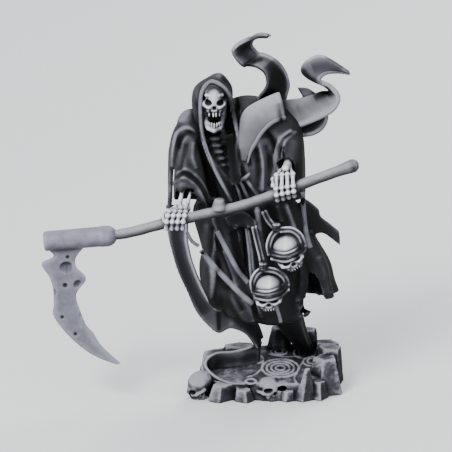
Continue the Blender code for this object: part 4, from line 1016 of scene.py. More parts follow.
# %% Ropes and trophies
ROPE_RADIUS = 0.00052
UPPER_HANGER = ((264, 212, -30), (268, 220, -34), (273, 226, -40), (277, 230, -47))
UPPER_ROPES = (
    ((277, 230), (271.5, 236), (268.5, 245), (270, 254)),
    ((280, 230), (291, 230), (299.5, 236), (303.5, 246)),
    ((270, 252), (283, 255), (294, 252), (303, 245)),
    ((272, 257), (285, 259.5), (296, 255), (303, 249)),
)
UPPER_KNOTS = ((276, 227, 4.2), (270.5, 253, 3.2), (303, 246.5, 3.4))
LOWER_HANGER = ((254, 227, -31), (257, 240, -34), (261, 256, -40), (263, 268, -47))
LOWER_ROPES = (
    ((262, 269), (256, 274), (252.5, 282), (254, 291)),
    ((265, 269), (276, 271), (284, 277), (287, 285)),
    ((254, 291), (266, 293), (278, 290), (287, 283)),
    ((256, 296), (268, 298), (279, 294.5), (287, 288)),
)
LOWER_KNOTS = ((263, 266, 4.4), (254, 290.5, 3.2), (286.5, 285, 3.4))
CAGE_DEPTH = -47.0
TROPHY_TALL, TROPHY_VOXEL = 0.0102, 0.00013


def eased(values, rounds):
    """A row of numbers with its jumps smoothed out, ends kept."""
    for _ in range(rounds):
        inner = [(a + b + c) / 3 for a, b, c in zip(values, values[1:], values[2:])]
        values = [values[0], *inner, values[-1]]
    return values


def rope(clay, path, radius=ROPE_RADIUS):
    """Two smooth strands that lie side by side along a path of places, as the viewer sees it."""
    last = len(path) - 1
    sides = [(path[min(i + 1, last)] - path[max(i - 1, 0)]).cross(AHEAD).normalized()
             for i in range(last + 1)]
    for strand in (-1, 1):
        limb(clay, [place + side * strand * radius * 0.78 for place, side in zip(path, sides)],
             [radius * 0.80] * (last + 1), 12)


def caged(name, node, frame_of, hanger, ropes, knots, dome):
    """A trophy skull with its ropes. Dome is the place of its brain case on the sketch that gets a painted
    highlight.
    """
    piece = skull(name, frame_of, TROPHY_TALL, None, 1.0, TROPHY_VOXEL)
    on_skull = sights_on(piece)
    clay = bmesh.new()
    rope(clay, [at(*p) for p in smooth_path(hanger, 44)])
    for line in ropes:
        flat = smooth_path(line, 44)
        depths = eased([on_skull(*p, 1.5, CAGE_DEPTH).y / UNIT for p in flat], 6)
        rope(clay, [at(*p, d) for p, d in zip(flat, depths)])
    for across, down, size in knots:
        middle = on_skull(across, down, 0.0, CAGE_DEPTH)
        for turn in (-1, 0, 1):
            ball(clay, middle + Vector((0, 0, -turn * size * 0.55 * UNIT)),
                 (size * UNIT, size * UNIT, size * 0.45 * UNIT))
    add_clay(piece, clay)
    # The ropes, the hanger and the knots are painted grey, and the dome gets a painted highlight.
    rope_grey_and_highlight = [(line, 4.0, -0.34) for line in ropes]
    rope_grey_and_highlight.append(([p[:2] for p in hanger], 6.0, -0.44))
    rope_grey_and_highlight.extend(dab(across, down, size * 1.2, -0.30) for across, down, size in knots)
    rope_grey_and_highlight.append(dab(*dome, 7.0, 0.34, reach=2.0))
    place_piece(tidy_bodies(melt(piece, TROPHY_VOXEL, 1)), node, bone_paint, 3, 60, rope_grey_and_highlight)


caged("trophy_upper_cast", "trophy_skull_upper", face_frame(298.5, 272, -48, nod=2, roll=-28, turn=6),
      UPPER_HANGER, UPPER_ROPES, UPPER_KNOTS, dome=(285, 243))
caged("trophy_lower_cast", "trophy_skull_lower", face_frame(271.5, 313.5, -48, nod=2, roll=-8, turn=-4),
      LOWER_HANGER, LOWER_ROPES, LOWER_KNOTS, dome=(269, 283))

# %% [markdown]
# ## Hands of bone
# A bony finger is a row of small bones, thick at the joints and thin between them, so each joint is a ball
# and each bone a bar with a waist. The fingers are drawn around the shaft. Each hand has four and a thumb.

# %% Fingers on the shaft
FINGER, HAND_VOXEL = 0.00062, 0.00012


def finger(clay, row):
    """Bones between the sketch places of a row, with a ball on every joint."""
    places = [at(*p) for p in row]
    for start, end in zip(places, places[1:]):
        limb(clay, [start, start.lerp(end, 0.5), end], [FINGER, FINGER * 0.74, FINGER], 14)
    for place in places[:-1]:
        ball(clay, place, [FINGER * 1.16] * 3)


clay = bmesh.new()
for k in range(4):
    finger(clay, [(186 + k * 0.8, 206 + k, -40), (170 + 5.3 * k, 212.5, -47), (168.5 + 5.5 * k, 216, -54),
                  (167.5 + 5.4 * k, 222, -56), (167 + 5.4 * k, 228.5, -53)])
finger(clay, [(176, 208, -41), (168, 211.5, -44), (163.5, 216, -48), (165.5, 221, -54)])
limb(clay, [at(184, 186, -20), at(182, 195, -29), at(180, 204, -36), at(181, 209, -42)],
     [2.6 * UNIT, 2.0 * UNIT, 2.6 * UNIT, 3.8 * UNIT])
limb(clay, [at(192, 188, -20), at(190, 196, -29), at(188, 204, -37), at(185, 209, -42)],
     [2.0 * UNIT, 1.6 * UNIT, 2.2 * UNIT, 3.4 * UNIT])
right_hand = tidy_bodies(melt(piece_of("right_hand_cast", clay), HAND_VOXEL, 1))
place_piece(right_hand, "right_hand", bone_paint, 3, 50)

clay = bmesh.new()
for k in range(4):
    finger(clay, [(284 + 1.5 * k, 168, -33), (276 + 5.3 * k, 176 - 0.4 * k, -43),
                  (275.5 + 5.6 * k, 189 - 0.8 * k, -50), (276 + 5.6 * k, 195.5 - 1.2 * k, -51.5),
                  (277 + 5.5 * k, 200.5 - 1.4 * k, -47)])
finger(clay, [(280, 172, -36), (273, 180, -42), (272.5, 186, -49)])
limb(clay, [at(287, 160, -14), at(287, 166, -30), at(285, 170, -37)], [3.6 * UNIT, 4.4 * UNIT, 4.4 * UNIT])
left_hand = tidy_bodies(melt(piece_of("left_hand_cast", clay), HAND_VOXEL, 1))
place_piece(left_hand, "left_hand", bone_paint, 3, 50)

# %% [markdown]
# ## The scythe
# The shaft is whittled: long flats run along it, whose edges a brush picks out in pale lines of painted
# highlight. It is lofted here as bars with few sides, melted finely so that the flats stay. The blade is a
# bent plate that thins towards its inner edge, with pits eaten into it.

# %% Shaft with its grip stub
SHAFT_LINE = ((351, 166.6, -35), (306, 183, -40), (270, 196.5, -43), (240, 206.5, -45), (200, 215.6, -46.5),
              (165, 223.5, -48), (130, 232.5, -49.5), (100, 236.8, -50))
SHAFT_STEPS, SHAFT_VOXEL = 56, 0.00019
FLARED_STEPS = 4
clay = bmesh.new()
path = [at(*p) for p in smooth_path(SHAFT_LINE, SHAFT_STEPS)]
radii = [SHAFT_RADIUS * (1.0 + 0.03 * math.sin(1.7 * i) - 0.0016 * abs(i - 22)) for i in range(len(path))]
for i in range(FLARED_STEPS):
    radii[i] *= 1.0 + 0.07 * (FLARED_STEPS - i)
limb(clay, path, radii, 10)
form = bmesh.new()
foot, top = at(219.5, 209.5, -45.8), at(219.5, 199.0, -45.8)
bmesh.ops.create_cone(form, cap_ends=True, segments=20, radius1=8.4 * UNIT, radius2=4.8 * UNIT,
                      depth=(top - foot).length, matrix=Matrix.Translation((foot + top) / 2))
caps = [line for line in form.edges if abs(line.verts[0].co.z - line.verts[1].co.z) < 1e-6]
bmesh.ops.bevel(form, geom=caps, offset=0.00040, segments=2, profile=0.5, affect="EDGES", material=-1)
pour(clay, form)
shaft = melt(piece_of("scythe_shaft_cast", clay), SHAFT_VOXEL, 1)
# Painted highlight along the shaft's upper side and painted shade along its lower side, at its top end and
# beside the hand.
SHAFT_PAINTED_LIGHT = (
    (beside(SHAFT_LINE, 0, -3.2), 2.0, 0.26), (beside(SHAFT_LINE, 0, 3.6), 2.4, -0.22),
    (((350, 161), (353, 172)), 2.6, -0.30), (((160, 219), (186, 213)), 3.0, -0.18),
)
place_piece(shaft, "scythe_shaft", shaft_paint, 3, 40, SHAFT_PAINTED_LIGHT)

# %% Blade, socket and pits
BLADE_BACK = ((48, 248.5), (55.2, 256), (43, 263.2), (50.4, 276.4), (54, 288), (54.6, 303.8), (53.6, 313.9),
              (60.5, 325.4), (72, 338.4), (86.5, 350.6), (100.9, 358.6), (117.4, 364.6))
BLADE_EDGE = ((89.3, 243), (77.8, 256.3), (77.4, 266.3), (87.2, 277.9), (78.5, 290.8), (77.2, 298),
              (80.7, 309.6), (86.5, 324), (93.7, 332.6), (100.9, 344.2), (112.4, 355.7), (121, 362.9))
BLADE_DEPTH, BLADE_THICK, BLADE_VOXEL = -50.0, 0.0013, 0.00016
# Pits eaten into the blade: across, down, half width and half height.
PITS = ((67.7, 269.2, 7.2, 8.6), (69, 257, 2.2, 2.2), (66.3, 285.5, 3, 3), (79, 286.5, 5, 7),
        (55, 293.7, 2.6, 5.6), (63, 317, 2.2, 2.2), (76, 334, 2.2, 2.2), (84, 317, 5, 8))
clay = bmesh.new()
last = 10 * (len(BLADE_BACK) - 1)
backs, edges = smooth_path(BLADE_BACK, last), smooth_path(BLADE_EDGE, last)
for vert in plate(clay, last, 12):
    i, side = round(vert.co.x * last), vert.co.y
    across = backs[i][0] + (edges[i][0] - backs[i][0]) * side
    down = backs[i][1] + (edges[i][1] - backs[i][1]) * side
    keen = min(1.0, 0.34 + (1.0 - side) * 3.2, 0.55 + side * 4.0)
    vert.co = at(across, down, BLADE_DEPTH) + AHEAD * (vert.co.z - 0.5) * BLADE_THICK * keen
bmesh.ops.recalc_face_normals(clay, faces=clay.faces)
form = bmesh.new()
end, start = at(45.5, 241.2, -51), at(109, 235.8, -49.8)
way = (start - end).to_track_quat("Z", "Y").to_matrix().to_4x4()
sleeve = SHAFT_RADIUS + 0.0011
bmesh.ops.create_cone(form, cap_ends=True, segments=28, radius1=sleeve * 0.98, radius2=sleeve,
                      depth=(start - end).length, matrix=Matrix.Translation((start + end) / 2) @ way)
caps = [line for line in form.edges if abs((line.verts[0].co - line.verts[1].co).normalized().dot(
    (start - end).normalized())) < 0.5]
bmesh.ops.bevel(form, geom=caps, offset=0.0005, segments=3, profile=0.5, affect="EDGES", material=-1)
pour(clay, form)
limb(clay, [at(103.5, 236.3, -50), at(108, 235.9, -50)], [sleeve * 1.04] * 2, 28)
blade = melt(piece_of("scythe_blade_cast", clay), BLADE_VOXEL, 1)
form = bmesh.new()
for across, down, wide, tall in PITS:
    place = at(across, down, BLADE_DEPTH) - AHEAD * (BLADE_THICK / 2 + 0.00025)
    tilt = Matrix.Rotation(-SIGHT, 3, "X")
    ball(form, place, (wide * UNIT, 0.00075, tall * UNIT), tilt, 20)
bore = start + (start - end).normalized() * 0.0004
limb(form, [bore, start - (start - end).normalized() * 0.003], [SHAFT_RADIUS + 0.0002] * 2, 24)
carve(blade, form, "pits", BLADE_VOXEL)
blade = tidy_bodies(melt(blade, BLADE_VOXEL, 1))
# Painted highlight along the edge and the back of the blade, and painted shade in its pits.
BLADE_PAINTED_LIGHT = (
    (beside(BLADE_EDGE, -1.5, 0), 2.6, 0.20), (beside(BLADE_BACK, 2.0, 0), 2.2, 0.12),
    *[dab(across, down, max(wide, tall) * 0.8, -0.22) for across, down, wide, tall in PITS],
)
place_piece(blade, "scythe_blade", steel_paint, 3, 50, BLADE_PAINTED_LIGHT)

# %% [markdown]
# ## The plinth
# It is a slab of broken paving with rubble and two half-buried skulls round its edge, and thin raised rings
# on top, one inside the other, which read as spirals. The slab starts as a squared cone, the rubble as
# cones with four to seven sides. All of it is melted, cut off flat below, and then roughened by noise that
# leaves the underside alone.

# %% Rubble, skulls and spirals
# Each stone: its place in half widths and half depths of the plinth, how wide and deep it is in sketch
# units, how high it stands as a share of the plinth there, its turn and tilt in degrees, its sides, and how
# far it narrows.
STONES = (
    (0.26, -0.90, 12, 8, 0.66, 20, 5, 5, 0.95),
    (0.50, -0.84, 19, 10, 1.92, 30, 4, 5, 0.34),
    (0.67, -0.78, 15, 14, 1.00, 10, -5, 4, 0.90),
    (0.77, -0.34, 28, 32, 1.72, 20, -5, 5, 0.85),
    (0.80, 0.14, 26, 26, 1.70, 75, 4, 5, 0.90),
    (0.78, 0.62, 26, 24, 1.35, -20, -4, 5, 0.95),
    (0.50, 0.84, 26, 14, 1.75, 10, 3, 5, 0.95),
    (0.16, 0.80, 30, 18, 1.90, -8, 4, 7, 0.55),
    (-0.40, 0.78, 34, 18, 1.12, 10, 3, 6, 0.95),
    (-0.76, 0.40, 22, 32, 1.08, -12, -4, 5, 0.95),
    (-0.82, -0.15, 16, 32, 1.02, 6, 4, 6, 0.95),
    (-0.62, -0.82, 25, 15, 1.02, 34, 7, 5, 0.95),
    (-0.34, -0.90, 17, 12, 0.80, -24, 8, 5, 0.95),
)
PLINTH_VOXEL, RAISED_LINE = 0.00021, 0.00036
SQUARENESS = 3.2

clay = bmesh.new()
form = bmesh.new()
made = bmesh.ops.create_cone(form, cap_ends=True, segments=36, radius1=1.0, radius2=0.93, depth=1.0)
for vert in made["verts"]:
    around = math.atan2(vert.co.y, vert.co.x)
    size = math.hypot(vert.co.x, vert.co.y)
    square = (abs(math.cos(around)) ** SQUARENESS + abs(math.sin(around)) ** SQUARENESS) ** (-1 / SQUARENESS)
    ragged = 1.0 + 0.03 * math.sin(5 * around + 1.0) + 0.02 * math.sin(11 * around)
    x = 0.95 * PLINTH_WIDTH / 2 * square * ragged * size * math.cos(around)
    y = 0.95 * PLINTH_DEPTH / 2 * square * ragged * size * math.sin(around)
    vert.co = Vector((x, y, plinth_top(x, y) if vert.co.z > 0 else -0.002))
pour(clay, form)
for x, y, wide, deep, rise, turn, tilt, sides, top in STONES:
    form = bmesh.new()
    place = Vector((x * PLINTH_WIDTH / 2, y * PLINTH_DEPTH / 2, 0.0))
    tall = plinth_top(place.x, place.y) * rise
    spin = Matrix.Rotation(math.radians(turn), 4, "Z") @ Matrix.Rotation(math.radians(tilt), 4, "X")
    grow = Matrix.Diagonal((wide / 2 * UNIT, deep / 2 * UNIT, tall, 1.0))
    stand = Matrix.Translation(place) @ spin @ grow @ Matrix.Translation((0, 0, 0.5))
    bmesh.ops.create_cone(form, cap_ends=True, segments=sides, radius1=1.35, radius2=top, depth=1.0,
                          matrix=stand)
    pour(clay, form)
front_skull = (Matrix.Translation((0.002 * PLINTH_WIDTH, -0.38 * PLINTH_DEPTH, -0.088 * PLINTH_DEPTH))
               @ Matrix.Rotation(math.radians(34), 4, "Z") @ Matrix.Rotation(math.radians(-10), 4, "X"))
corner_skull = (Matrix.Translation((-0.455 * PLINTH_WIDTH, -0.34 * PLINTH_DEPTH, -0.05 * PLINTH_DEPTH))
                @ Matrix.Rotation(math.radians(-62), 4, "Z") @ Matrix.Rotation(math.radians(10), 4, "X"))
buried = ((front_skull, 40 * UNIT, 0.6, 0.18), (corner_skull, 32 * UNIT, 1.0, 0.16))
for frame_of, tall, dome, _ in buried:
    skull_forms(clay, frame_of, tall, 0.0, 1.0, dome)


def spiral(clay, across, down, wide, tall, rings):
    """Rings of a raised line on the plinth's top, drawn on the sketch."""
    for ring in range(rings):
        share = (ring + 1) / rings
        places = []
        for k in range(37):
            angle = math.radians(10 * k)
            px, py = across + wide * share * math.cos(angle), down + tall * share * math.sin(angle)
            places.append(on_plinth(px, py))
        limb(clay, places, [RAISED_LINE] * len(places), 8)


def on_plinth(across, down):
    """Where the line of sight meets the plinth's top."""
    for depth in np.linspace(-50, 50, 201):
        place = at(across, down, float(depth))
        if place.z <= plinth_top(place.x, place.y):
            return place
    return at(across, down, 0.0)


SPIRALS = ((281, 369.5, 18.5, 8.5, 4), (251, 382, 5, 2.2, 1), (313, 363, 9, 4.5, 2), (280, 354, 8, 3, 2),
           (259, 361, 5, 3.5, 2), (306, 355, 11, 5, 1))
for spot in SPIRALS:
    spiral(clay, *spot)
TENDRILS = (
    ((307, 360), (300, 370), (295, 379), (297, 384)),
    ((264, 360), (262, 370), (255, 376), (248, 378)),
    ((270, 356), (285, 359), (305, 358)),
)
for line in TENDRILS:
    limb(clay, [on_plinth(*p) for p in smooth_path(line, 14)], [RAISED_LINE] * 15, 8)
plinth = melt(piece_of("stone_base_cast", clay), PLINTH_VOXEL, 1)
form = bmesh.new()
for frame_of, tall, _, eyes in buried:
    skull_hollows(form, frame_of, tall, 1.0, eyes, temples=False)
below_ground = Matrix.Translation((0, 0, -0.002)) @ Matrix.Diagonal((0.06, 0.06, 0.004, 1))
bmesh.ops.create_cube(form, size=1.0, matrix=below_ground)
carve(plinth, form, "eyes_and_ground", PLINTH_VOXEL)
roughen(plinth, 420.0, 0.00009)
tidy_bodies(plinth)
# The two skulls are painted paler, with painted shade in their eye sockets and behind the leg.
stone_tone_and_painted_light = [(((265, 389), (281, 389)), 9.5, 0.46), (((199, 384), (208, 390)), 8.0, 0.28),
               (((270, 391.5), (271, 391.5)), 3.0, -0.5), (((282, 389), (283, 389)), 3.0, -0.5),
               (((205, 387), (206, 387)), 3.2, -0.45), (((262, 345), (283, 334)), 7.0, -0.25)]
# Painted highlight on each raised ring, and painted shade in the middle of each spiral.
for across, down, wide, tall, rings in SPIRALS:
    for ring in range(rings):
        share = (ring + 1) / rings
        turns = [math.radians(30 * k) for k in range(13)]
        circle = [(across + wide * share * math.cos(a), down + tall * share * math.sin(a)) for a in turns]
        stone_tone_and_painted_light.append((circle, 1.1, 0.30))
    stone_tone_and_painted_light.append(dab(across, down, wide * 0.8, -0.14, reach=wide * 0.3))
place_piece(plinth, "stone_base", stone_paint, 4, 60, stone_tone_and_painted_light)

# %% [markdown]
# ## The robed body
# The largest casting: robe, hood, sleeves and the trailing leg of cloth. Level ovals give the masses, a
# strip gives the cape's edge, and a wedge opens the hood. Cords are laid on what the viewer sees and melted
# in. The ball tool presses the folds, and the straps are laid on last, so that they stay crisp.

# %% Masses of the body
TORSO = ((226, 100, -4, 14, 10), (229, 118, -2, 38, 20), (235, 140, 0, 46, 22), (241, 165, 1, 45, 23),
         (245, 190, 2, 44, 24), (247, 212, 2, 54, 26), (252, 238, 2, 53, 28), (262, 268, 2, 53, 30),
         (264, 290, 0, 51, 30), (267, 307, -2, 44, 28), (269, 317, -3, 35, 24), (270, 321, -3, 12, 10))
SKIRT_ROOM = ((262, 276, 0, 8, 8), (264, 291, -1, 34, 19), (267, 308, -3, 38, 22), (269, 324, -4, 34, 20),
              (269, 334, -4, 30, 18))
HOOD = ((219, 75, -14, 2, 3), (217, 81, -14, 10, 14), (213.5, 90, -13, 19, 21), (212.5, 104, -12, 20.5, 24),
        (215, 122, -10, 20.5, 24), (220, 145, -8, 21, 23), (226, 168, -7, 21, 21), (232, 190, -8, 19, 19),
        (235, 206, -10, 12, 14))
SLEEVE_LEFT = ((195, 118, -4, 12, 12), (191, 140, -10, 13, 13), (191, 165, -16, 16, 13),
               (193, 185, -20, 19, 13), (195, 203, -23, 21, 13))
SLEEVE_LEFT_ROOM = ((190, 176, -22, 6, 6), (190, 190, -24, 13, 9), (191, 206, -27, 16, 10),
                    (192, 220, -28, 17, 11))
SLEEVE_RIGHT = ((258, 104, 0, 22, 15), (276, 122, -4, 22, 15), (288, 140, -12, 15, 14),
                (289, 160, -14, 15.5, 14), (289, 180, -10, 16, 13), (291, 200, -6, 14, 11))
BELL = ((300, 222, 8, 8, 8), (305, 240, 10, 13, 13), (309, 262, 12, 21, 19), (311, 280, 12, 23, 22),
        (312, 296, 12, 27, 24))
BELL_ROOM = ((304, 262, 4, 5, 5), (306, 276, 0, 13, 14), (307, 292, -2, 17, 18), (309, 312, -4, 22, 20))
LEG = ((268, 262, 0, 22, 18), (276, 292, -1, 20, 18), (286, 316, 6, 17, 15), (296, 335, 16, 12, 12),
       (305, 350, 27, 9, 9), (306, 362, 29.5, 10, 9))
HEM_LEFT = ((216, 235, 0, 5, 8), (211, 258, -1, 11, 14), (212, 280, -3, 12, 15), (216, 296, -4, 10, 13),
            (218, 306, -5, 7, 9))
CAPE_FRONT = ((200, 134, -12), (188, 127, -14), (177, 137, -13), (173, 155, -12), (171.5, 175, -11),
              (170.5, 195, -10), (169, 213, -8))
CAPE_BACK = ((202, 120, 8), (188, 116, 9), (177, 128, 11), (171, 148, 12), (170, 172, 12), (170, 195, 11),
             (169, 214, 9))
TATTERS = (
    (((302, 196, 4), (318, 208, 8), (321, 216, 10), (331, 224, 12), (340, 231, 14)),
     ((296, 214, 4), (308, 228, 8), (316, 233, 10), (325, 234, 12), (341, 246, 14))),
    (((207, 296, -8), (214, 300, -12), (222, 302, -14)), ((209, 303, -8), (215, 309, -12), (223, 311, -14))),
    (((289, 266, -20), (290, 284, -20), (290, 302, -19)),
     ((298, 270, -16), (301, 286, -15), (301, 298, -15))),
    (((224, 217, -28), (243, 211, -30), (256, 221, -29)),
     ((229, 226, -29), (243, 227, -31), (255, 228, -30))),
)
OPENING_LEFT = ((211, 87), (206, 93), (203.5, 102), (203.5, 120), (205, 137), (210, 153), (219, 172),
                (232, 196))
OPENING_RIGHT = ((213, 87), (220, 91), (227, 99), (230, 110), (232.5, 122), (236, 138), (240, 154),
                 (245, 171), (247, 178))
OPENING_BACK = ((-16,), (2,), (4,), (2,), (-6,), (-16,), (-22,), (-27,))
TRIM_LEFT = ((212, 83.5), (206, 87.5), (202, 96), (201, 108), (201.3, 122), (203, 137), (206.5, 150),
             (213, 166), (220, 180), (231, 200))
TRIM_RIGHT = ((212, 83.5), (219, 86), (226.5, 92.5), (231.5, 102), (234, 115), (236.5, 130), (240, 147),
              (244, 162), (248.5, 176))

clay = bmesh.new()
loft(clay, TORSO, 120, 90, 9, 0.06, 2.0)
loft(clay, HOOD, 64, 50)
loft(clay, SLEEVE_LEFT, 48, 30, 5, 0.05)
loft(clay, SLEEVE_RIGHT, 48, 36, 5, 0.05)
loft(clay, BELL, 64, 30, 6, 0.10)
loft(clay, HEM_LEFT, 32, 20)
ball(clay, at(192, 126, -2), (15 * UNIT, 15 * UNIT, 17 * UNIT), sides=32)
ball(clay, at(248, 113, 0), (26 * UNIT, 17 * UNIT, 17 * UNIT), sides=32)
strip(clay, CAPE_FRONT, CAPE_BACK, 50, 8, CLOTH_THICK * 1.2)
for near, far in TATTERS:
    strip(clay, near, far, 24, 6, CLOTH_THICK)
print("loose points of the body:", len(clay.verts))

# %% Cords and hems on the body
# Each cord: its places on the sketch, and its radius in sketch units.
CORDS = (
    (((198, 137), (193, 131), (187, 129), (181, 131), (176, 138), (174, 150), (172, 165)), 2.6),
    (((177, 175), (186, 170), (200, 180), (213, 203)), 1.8),
    (((174, 184), (182, 178), (192, 182), (200, 190), (208, 207)), 1.8),
    (((290, 132), (280, 140), (275, 155), (273, 170), (272, 182)), 2.4),
    (((295, 133), (285, 140), (282, 150), (283, 158)), 2.0),
    (((257, 208), (261, 235), (266, 264)), 2.8),
    (((286, 205), (292, 222), (300, 243)), 2.8),
    (((236, 226), (241, 250), (252, 290), (262, 316)), 3.0),
    (((214, 216), (216, 240), (213, 270), (212, 296)), 3.0),
    (((262, 190), (262, 165), (258, 145)), 2.4),
    (((300, 262), (301, 280), (299, 298)), 3.0),
)
seen = sights_of(clay)
for line, half in CORDS:
    laid_cord(clay, seen, line, half * UNIT, 0.2)
BODY_VOXEL = 0.00033
body = melt(piece_of("robed_figure_cast", clay), BODY_VOXEL, 2)
print("points of the melted body:", len(body.data.vertices))

# %% Open the hood, the sleeves and the hems
WEDGE_STEPS = 40
form = bmesh.new()
lefts, rights, backs = (smooth_path(edge, WEDGE_STEPS)
                        for edge in (OPENING_LEFT, OPENING_RIGHT, OPENING_BACK))
for vert in plate(form, WEDGE_STEPS, 16):
    i, side = round(vert.co.x * WEDGE_STEPS), vert.co.y
    across = lefts[i][0] * (1 - side) + rights[i][0] * side
    down = lefts[i][1] * (1 - side) + rights[i][1] * side
    hollow = backs[i][0] - 10.0 * (2 * side - 1) ** 2
    vert.co = at(across, down, hollow if vert.co.z > 0.5 else -90.0)
bmesh.ops.recalc_face_normals(form, faces=form.faces)
loft(form, SLEEVE_LEFT_ROOM, 32, 16)
loft(form, BELL_ROOM, 36, 20)
loft(form, SKIRT_ROOM, 48, 20)
ball(form, at(285, 168, -28), (9 * UNIT, 12 * UNIT, 9 * UNIT), sides=24)
carve(body, form, "openings", BODY_VOXEL)
print("points after the openings:", len(body.data.vertices))

# %% Trim, ribs, stole and leg
TRIM_RADIUS = 0.00062
STOLE_NEAR = ((225, 136, -15), (228, 160, -20), (232, 186, -28))
STOLE_FAR = ((237, 132, -15), (240, 158, -20), (242, 182, -28))
# The knot of the stole and its three ends: places, and the radius at each.
STOLE_KNOT = (
    (((242, 180, -32), (245.5, 178, -33.5), (249, 174.5, -33)), (2.0, 2.4, 1.8)),
    (((246, 180, -32), (252, 188, -33), (258, 196, -33)), (2.2, 2.2, 2.2)),
    (((241, 183, -31), (245, 192, -32), (250, 201, -31)), (2.0, 2.0, 2.0)),
    (((236, 185, -29), (239, 193, -30), (242, 203, -29)), (1.8, 1.8, 1.8)),
)
hood_clay = bmesh.new()
loft(hood_clay, HOOD, 64, 50)
on_hood = sights_of(hood_clay)
hood_clay.free()
clay = bmesh.new()
for line in (TRIM_LEFT, TRIM_RIGHT):
    laid_cord(clay, on_hood, line, TRIM_RADIUS, 1.4, 60)
for row, down in enumerate((139, 145.5, 152, 158.5, 165)):
    lean = row * 1.6
    ball(clay, at(214 + lean, down, -17 - row), (7.0 * UNIT, 5.0 * UNIT, 3.0 * UNIT))
    ball(clay, at(209.5 + lean, down + 1.0, -17 - row), (3.4 * UNIT, 3.4 * UNIT, 2.8 * UNIT))
limb(clay, [at(221, 126, -8), at(225, 134, -12), at(224, 144, -15)], [3.0 * UNIT] * 3)
for k in range(5):
    ball(clay, at(221.5 + 0.8 * k, 127 + 3.6 * k, -9 - 1.6 * k), (4.2 * UNIT, 4.2 * UNIT, 1.5 * UNIT))
limb(clay, [at(222, 150, -8), at(228, 176, -16)], [5.0 * UNIT] * 2)
strip(clay, STOLE_NEAR, STOLE_FAR, 24, 5, CLOTH_THICK)
for line, halves in STOLE_KNOT:
    limb(clay, [at(*p) for p in line], [half * UNIT for half in halves])
loft(clay, LEG, 48, 36, 5, 0.14)
add_clay(body, clay)
melt(body, BODY_VOXEL, 2)
print("points with trim, ribs and leg:", len(body.data.vertices))

# %% Press the folds
# Each fold: its places on the sketch, its half width, and how far it stands out. Below nought is a groove.
FOLDS = (
    (((207, 222), (206, 245), (213, 270), (222, 296)), 5.0, 1.6),
    (((222, 250), (228, 268), (238, 288)), 3.0, 1.2),
    (((257, 208), (258, 235), (262, 262)), 3.5, 2.2),
    (((248, 228), (252, 250), (254, 275), (258, 300)), 2.6, 2.2),
    (((276, 205), (282, 222)), 3.0, 1.5),
    (((243, 298), (250, 310), (254, 322)), 4.0, 1.6),
    (((296, 262), (292, 285), (300, 310)), 3.5, 1.8),
    (((318, 255), (326, 275), (330, 295)), 4.0, 1.8),
    (((311, 275), (318, 288), (322, 298)), 2.6, 1.8),
    (((234, 230), (240, 255), (246, 277)), 5.0, -5.0),
    (((212, 226), (220, 250), (232, 282)), 2.2, -2.6),
    (((244, 226), (247, 250), (250, 282), (256, 318)), 2.0, -2.8),
    (((268, 206), (272, 232)), 3.6, -3.0),
    (((226, 285), (236, 300), (243, 312)), 4.0, -2.4),
    (((202, 143), (207, 162), (212, 186), (216, 203)), 2.6, -5.0),
    (((196, 104), (197, 124), (200, 142)), 1.6, -2.2),
    (((223, 80), (231, 88), (236, 100), (238, 114), (241, 130), (245, 147), (250, 166)), 1.8, -2.6),
    (((177, 132), (174, 150), (173, 168)), 1.6, 1.4),
    (((178, 150), (181, 140), (188, 134), (198, 137)), 2.4, -1.4),
    (((176, 180), (184, 174), (195, 180), (204, 191), (210, 205)), 2.4, -1.4),
    (((292, 134), (283, 141), (278.5, 153), (277, 168)), 1.6, -1.8),
    (((283, 148), (282, 153), (284, 160)), 1.3, -2.6),
    (((257, 190), (259, 168), (255, 148)), 3.2, -2.0),
    (((270, 188), (270, 165), (266, 145)), 3.0, -2.0),
    (((187, 144), (183, 160), (180, 172)), 2.6, -1.4),
    (((194, 142), (193, 158), (197, 170)), 2.8, 1.4),
)
# Grooves down the back: where each runs across the sketch, and its height.
BACK_FOLDS = ((236, -2.4), (254, -3.2), (272, -2.8), (290, -2.2), (221, -1.8))
press(body, FOLDS)
places, normals = points_of(body)
across, down = on_sketch(places)
rear = np.clip((normals[:, 1] - 0.3) / 0.4, 0, 1) * np.clip((385 - down) / 30, 0, 1)
rear *= np.clip((down - 130) / 60, 0, 1)
sunk = sum(height * np.exp(-((across - place + 0.05 * (down - 250)) / 4.0) ** 2)
           for place, height in BACK_FOLDS)
push_out(body, places, normals, sunk * rear)
tidy_bodies(body)
print("folds pressed:", len(FOLDS) + len(BACK_FOLDS))

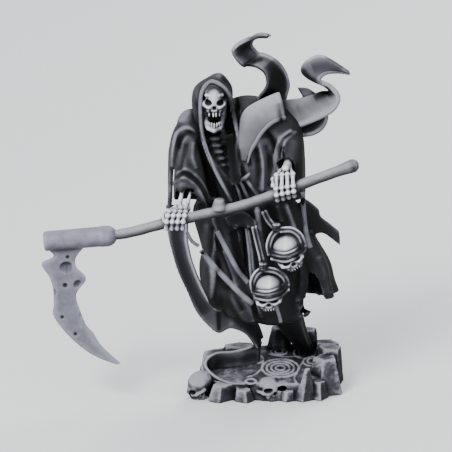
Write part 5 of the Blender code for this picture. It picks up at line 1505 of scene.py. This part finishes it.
# %% Lay the straps, crisp, on the finished cloth
# Each strap: its places on the sketch, and its half width.
STRAPS = (
    (((217, 231), (228, 252), (238, 270), (248.5, 283)), 2.5),
    (((201, 250), (212, 264), (225, 278), (240, 293), (253, 304)), 2.7),
    (((302, 192), (305, 225), (307.5, 238), (310.5, 248)), 2.5),
    (((187, 232), (192, 241), (199, 246)), 1.8),
    (((246, 228), (249, 252), (251, 276), (255, 300)), 1.4),
    (((276, 306), (279, 315), (281, 323)), 1.8),
)
STRAP_LIFT, STRAP_THICK = 0.9, 0.00055
on_cloth = sights_on(body)
clay = bmesh.new()
for line, half in STRAPS:
    laid_strap(clay, on_cloth, line, half, STRAP_LIFT, STRAP_THICK)
ball(clay, on_cloth(311, 232, 0.6), (2.4 * UNIT, 1.6 * UNIT, 3.0 * UNIT))
add_clay(body, clay)

# Strokes of tone and painted light. The trims and the straps are paler paint and the stole darker; the
# shoulder, the cape's bands, the right of the chest, the raised folds and the lit side of the bell get
# painted highlights; grooves, the bell's cavity and the place under the arm get painted shade; the hem is
# darker.
ROBE_TONE_AND_PAINTED_LIGHT = (
    (TRIM_LEFT, 2.0, 0.50),
    (TRIM_RIGHT, 2.0, 0.42),
    (((178, 122), (184, 112), (193, 110)), 9.0, 0.34),
    (((188, 130), (176, 140), (172, 165), (171, 200)), 4.5, 0.26),
    (((172, 190), (186, 184), (206, 200)), 3.0, 0.26),
    (((228, 138), (232, 160), (236, 184)), 4.5, -0.50),
    (((262, 138), (266, 165), (262, 192)), 14.0, 0.62),
    (((296, 262), (299, 300)), 7.0, -0.30),
    (((257, 208), (261, 235), (266, 264)), 3.0, 0.42),
    (((286, 205), (292, 222), (300, 243)), 2.6, 0.34),
    (((238, 240), (244, 280)), 6.0, -0.40),
    (((272, 205), (272, 235)), 5.0, -0.40),
    (((207, 222), (206, 245), (213, 270), (222, 296)), 4.5, 0.20),
    (((207, 303), (223, 305)), 5.0, -0.30),
    (((255, 317), (276, 318)), 6.0, -0.14),
    (((290, 225), (300, 262)), 8.0, 0.12),
    (((175, 196), (190, 196)), 5.0, -0.35),
    (((272, 180), (274, 160), (285, 138)), 3.0, 0.22),
    (((312, 262), (322, 282)), 6.0, 0.10),
    (((283, 150), (283, 160)), 2.4, -0.5),
    *[(line, half, 0.36) for line, half in STRAPS],
)
place_piece(body, "robed_figure", robe_paint, 2, 26, ROBE_TONE_AND_PAINTED_LIGHT)

# %% [markdown]
# ## Close the lesson

# %% Finish
print("finished")
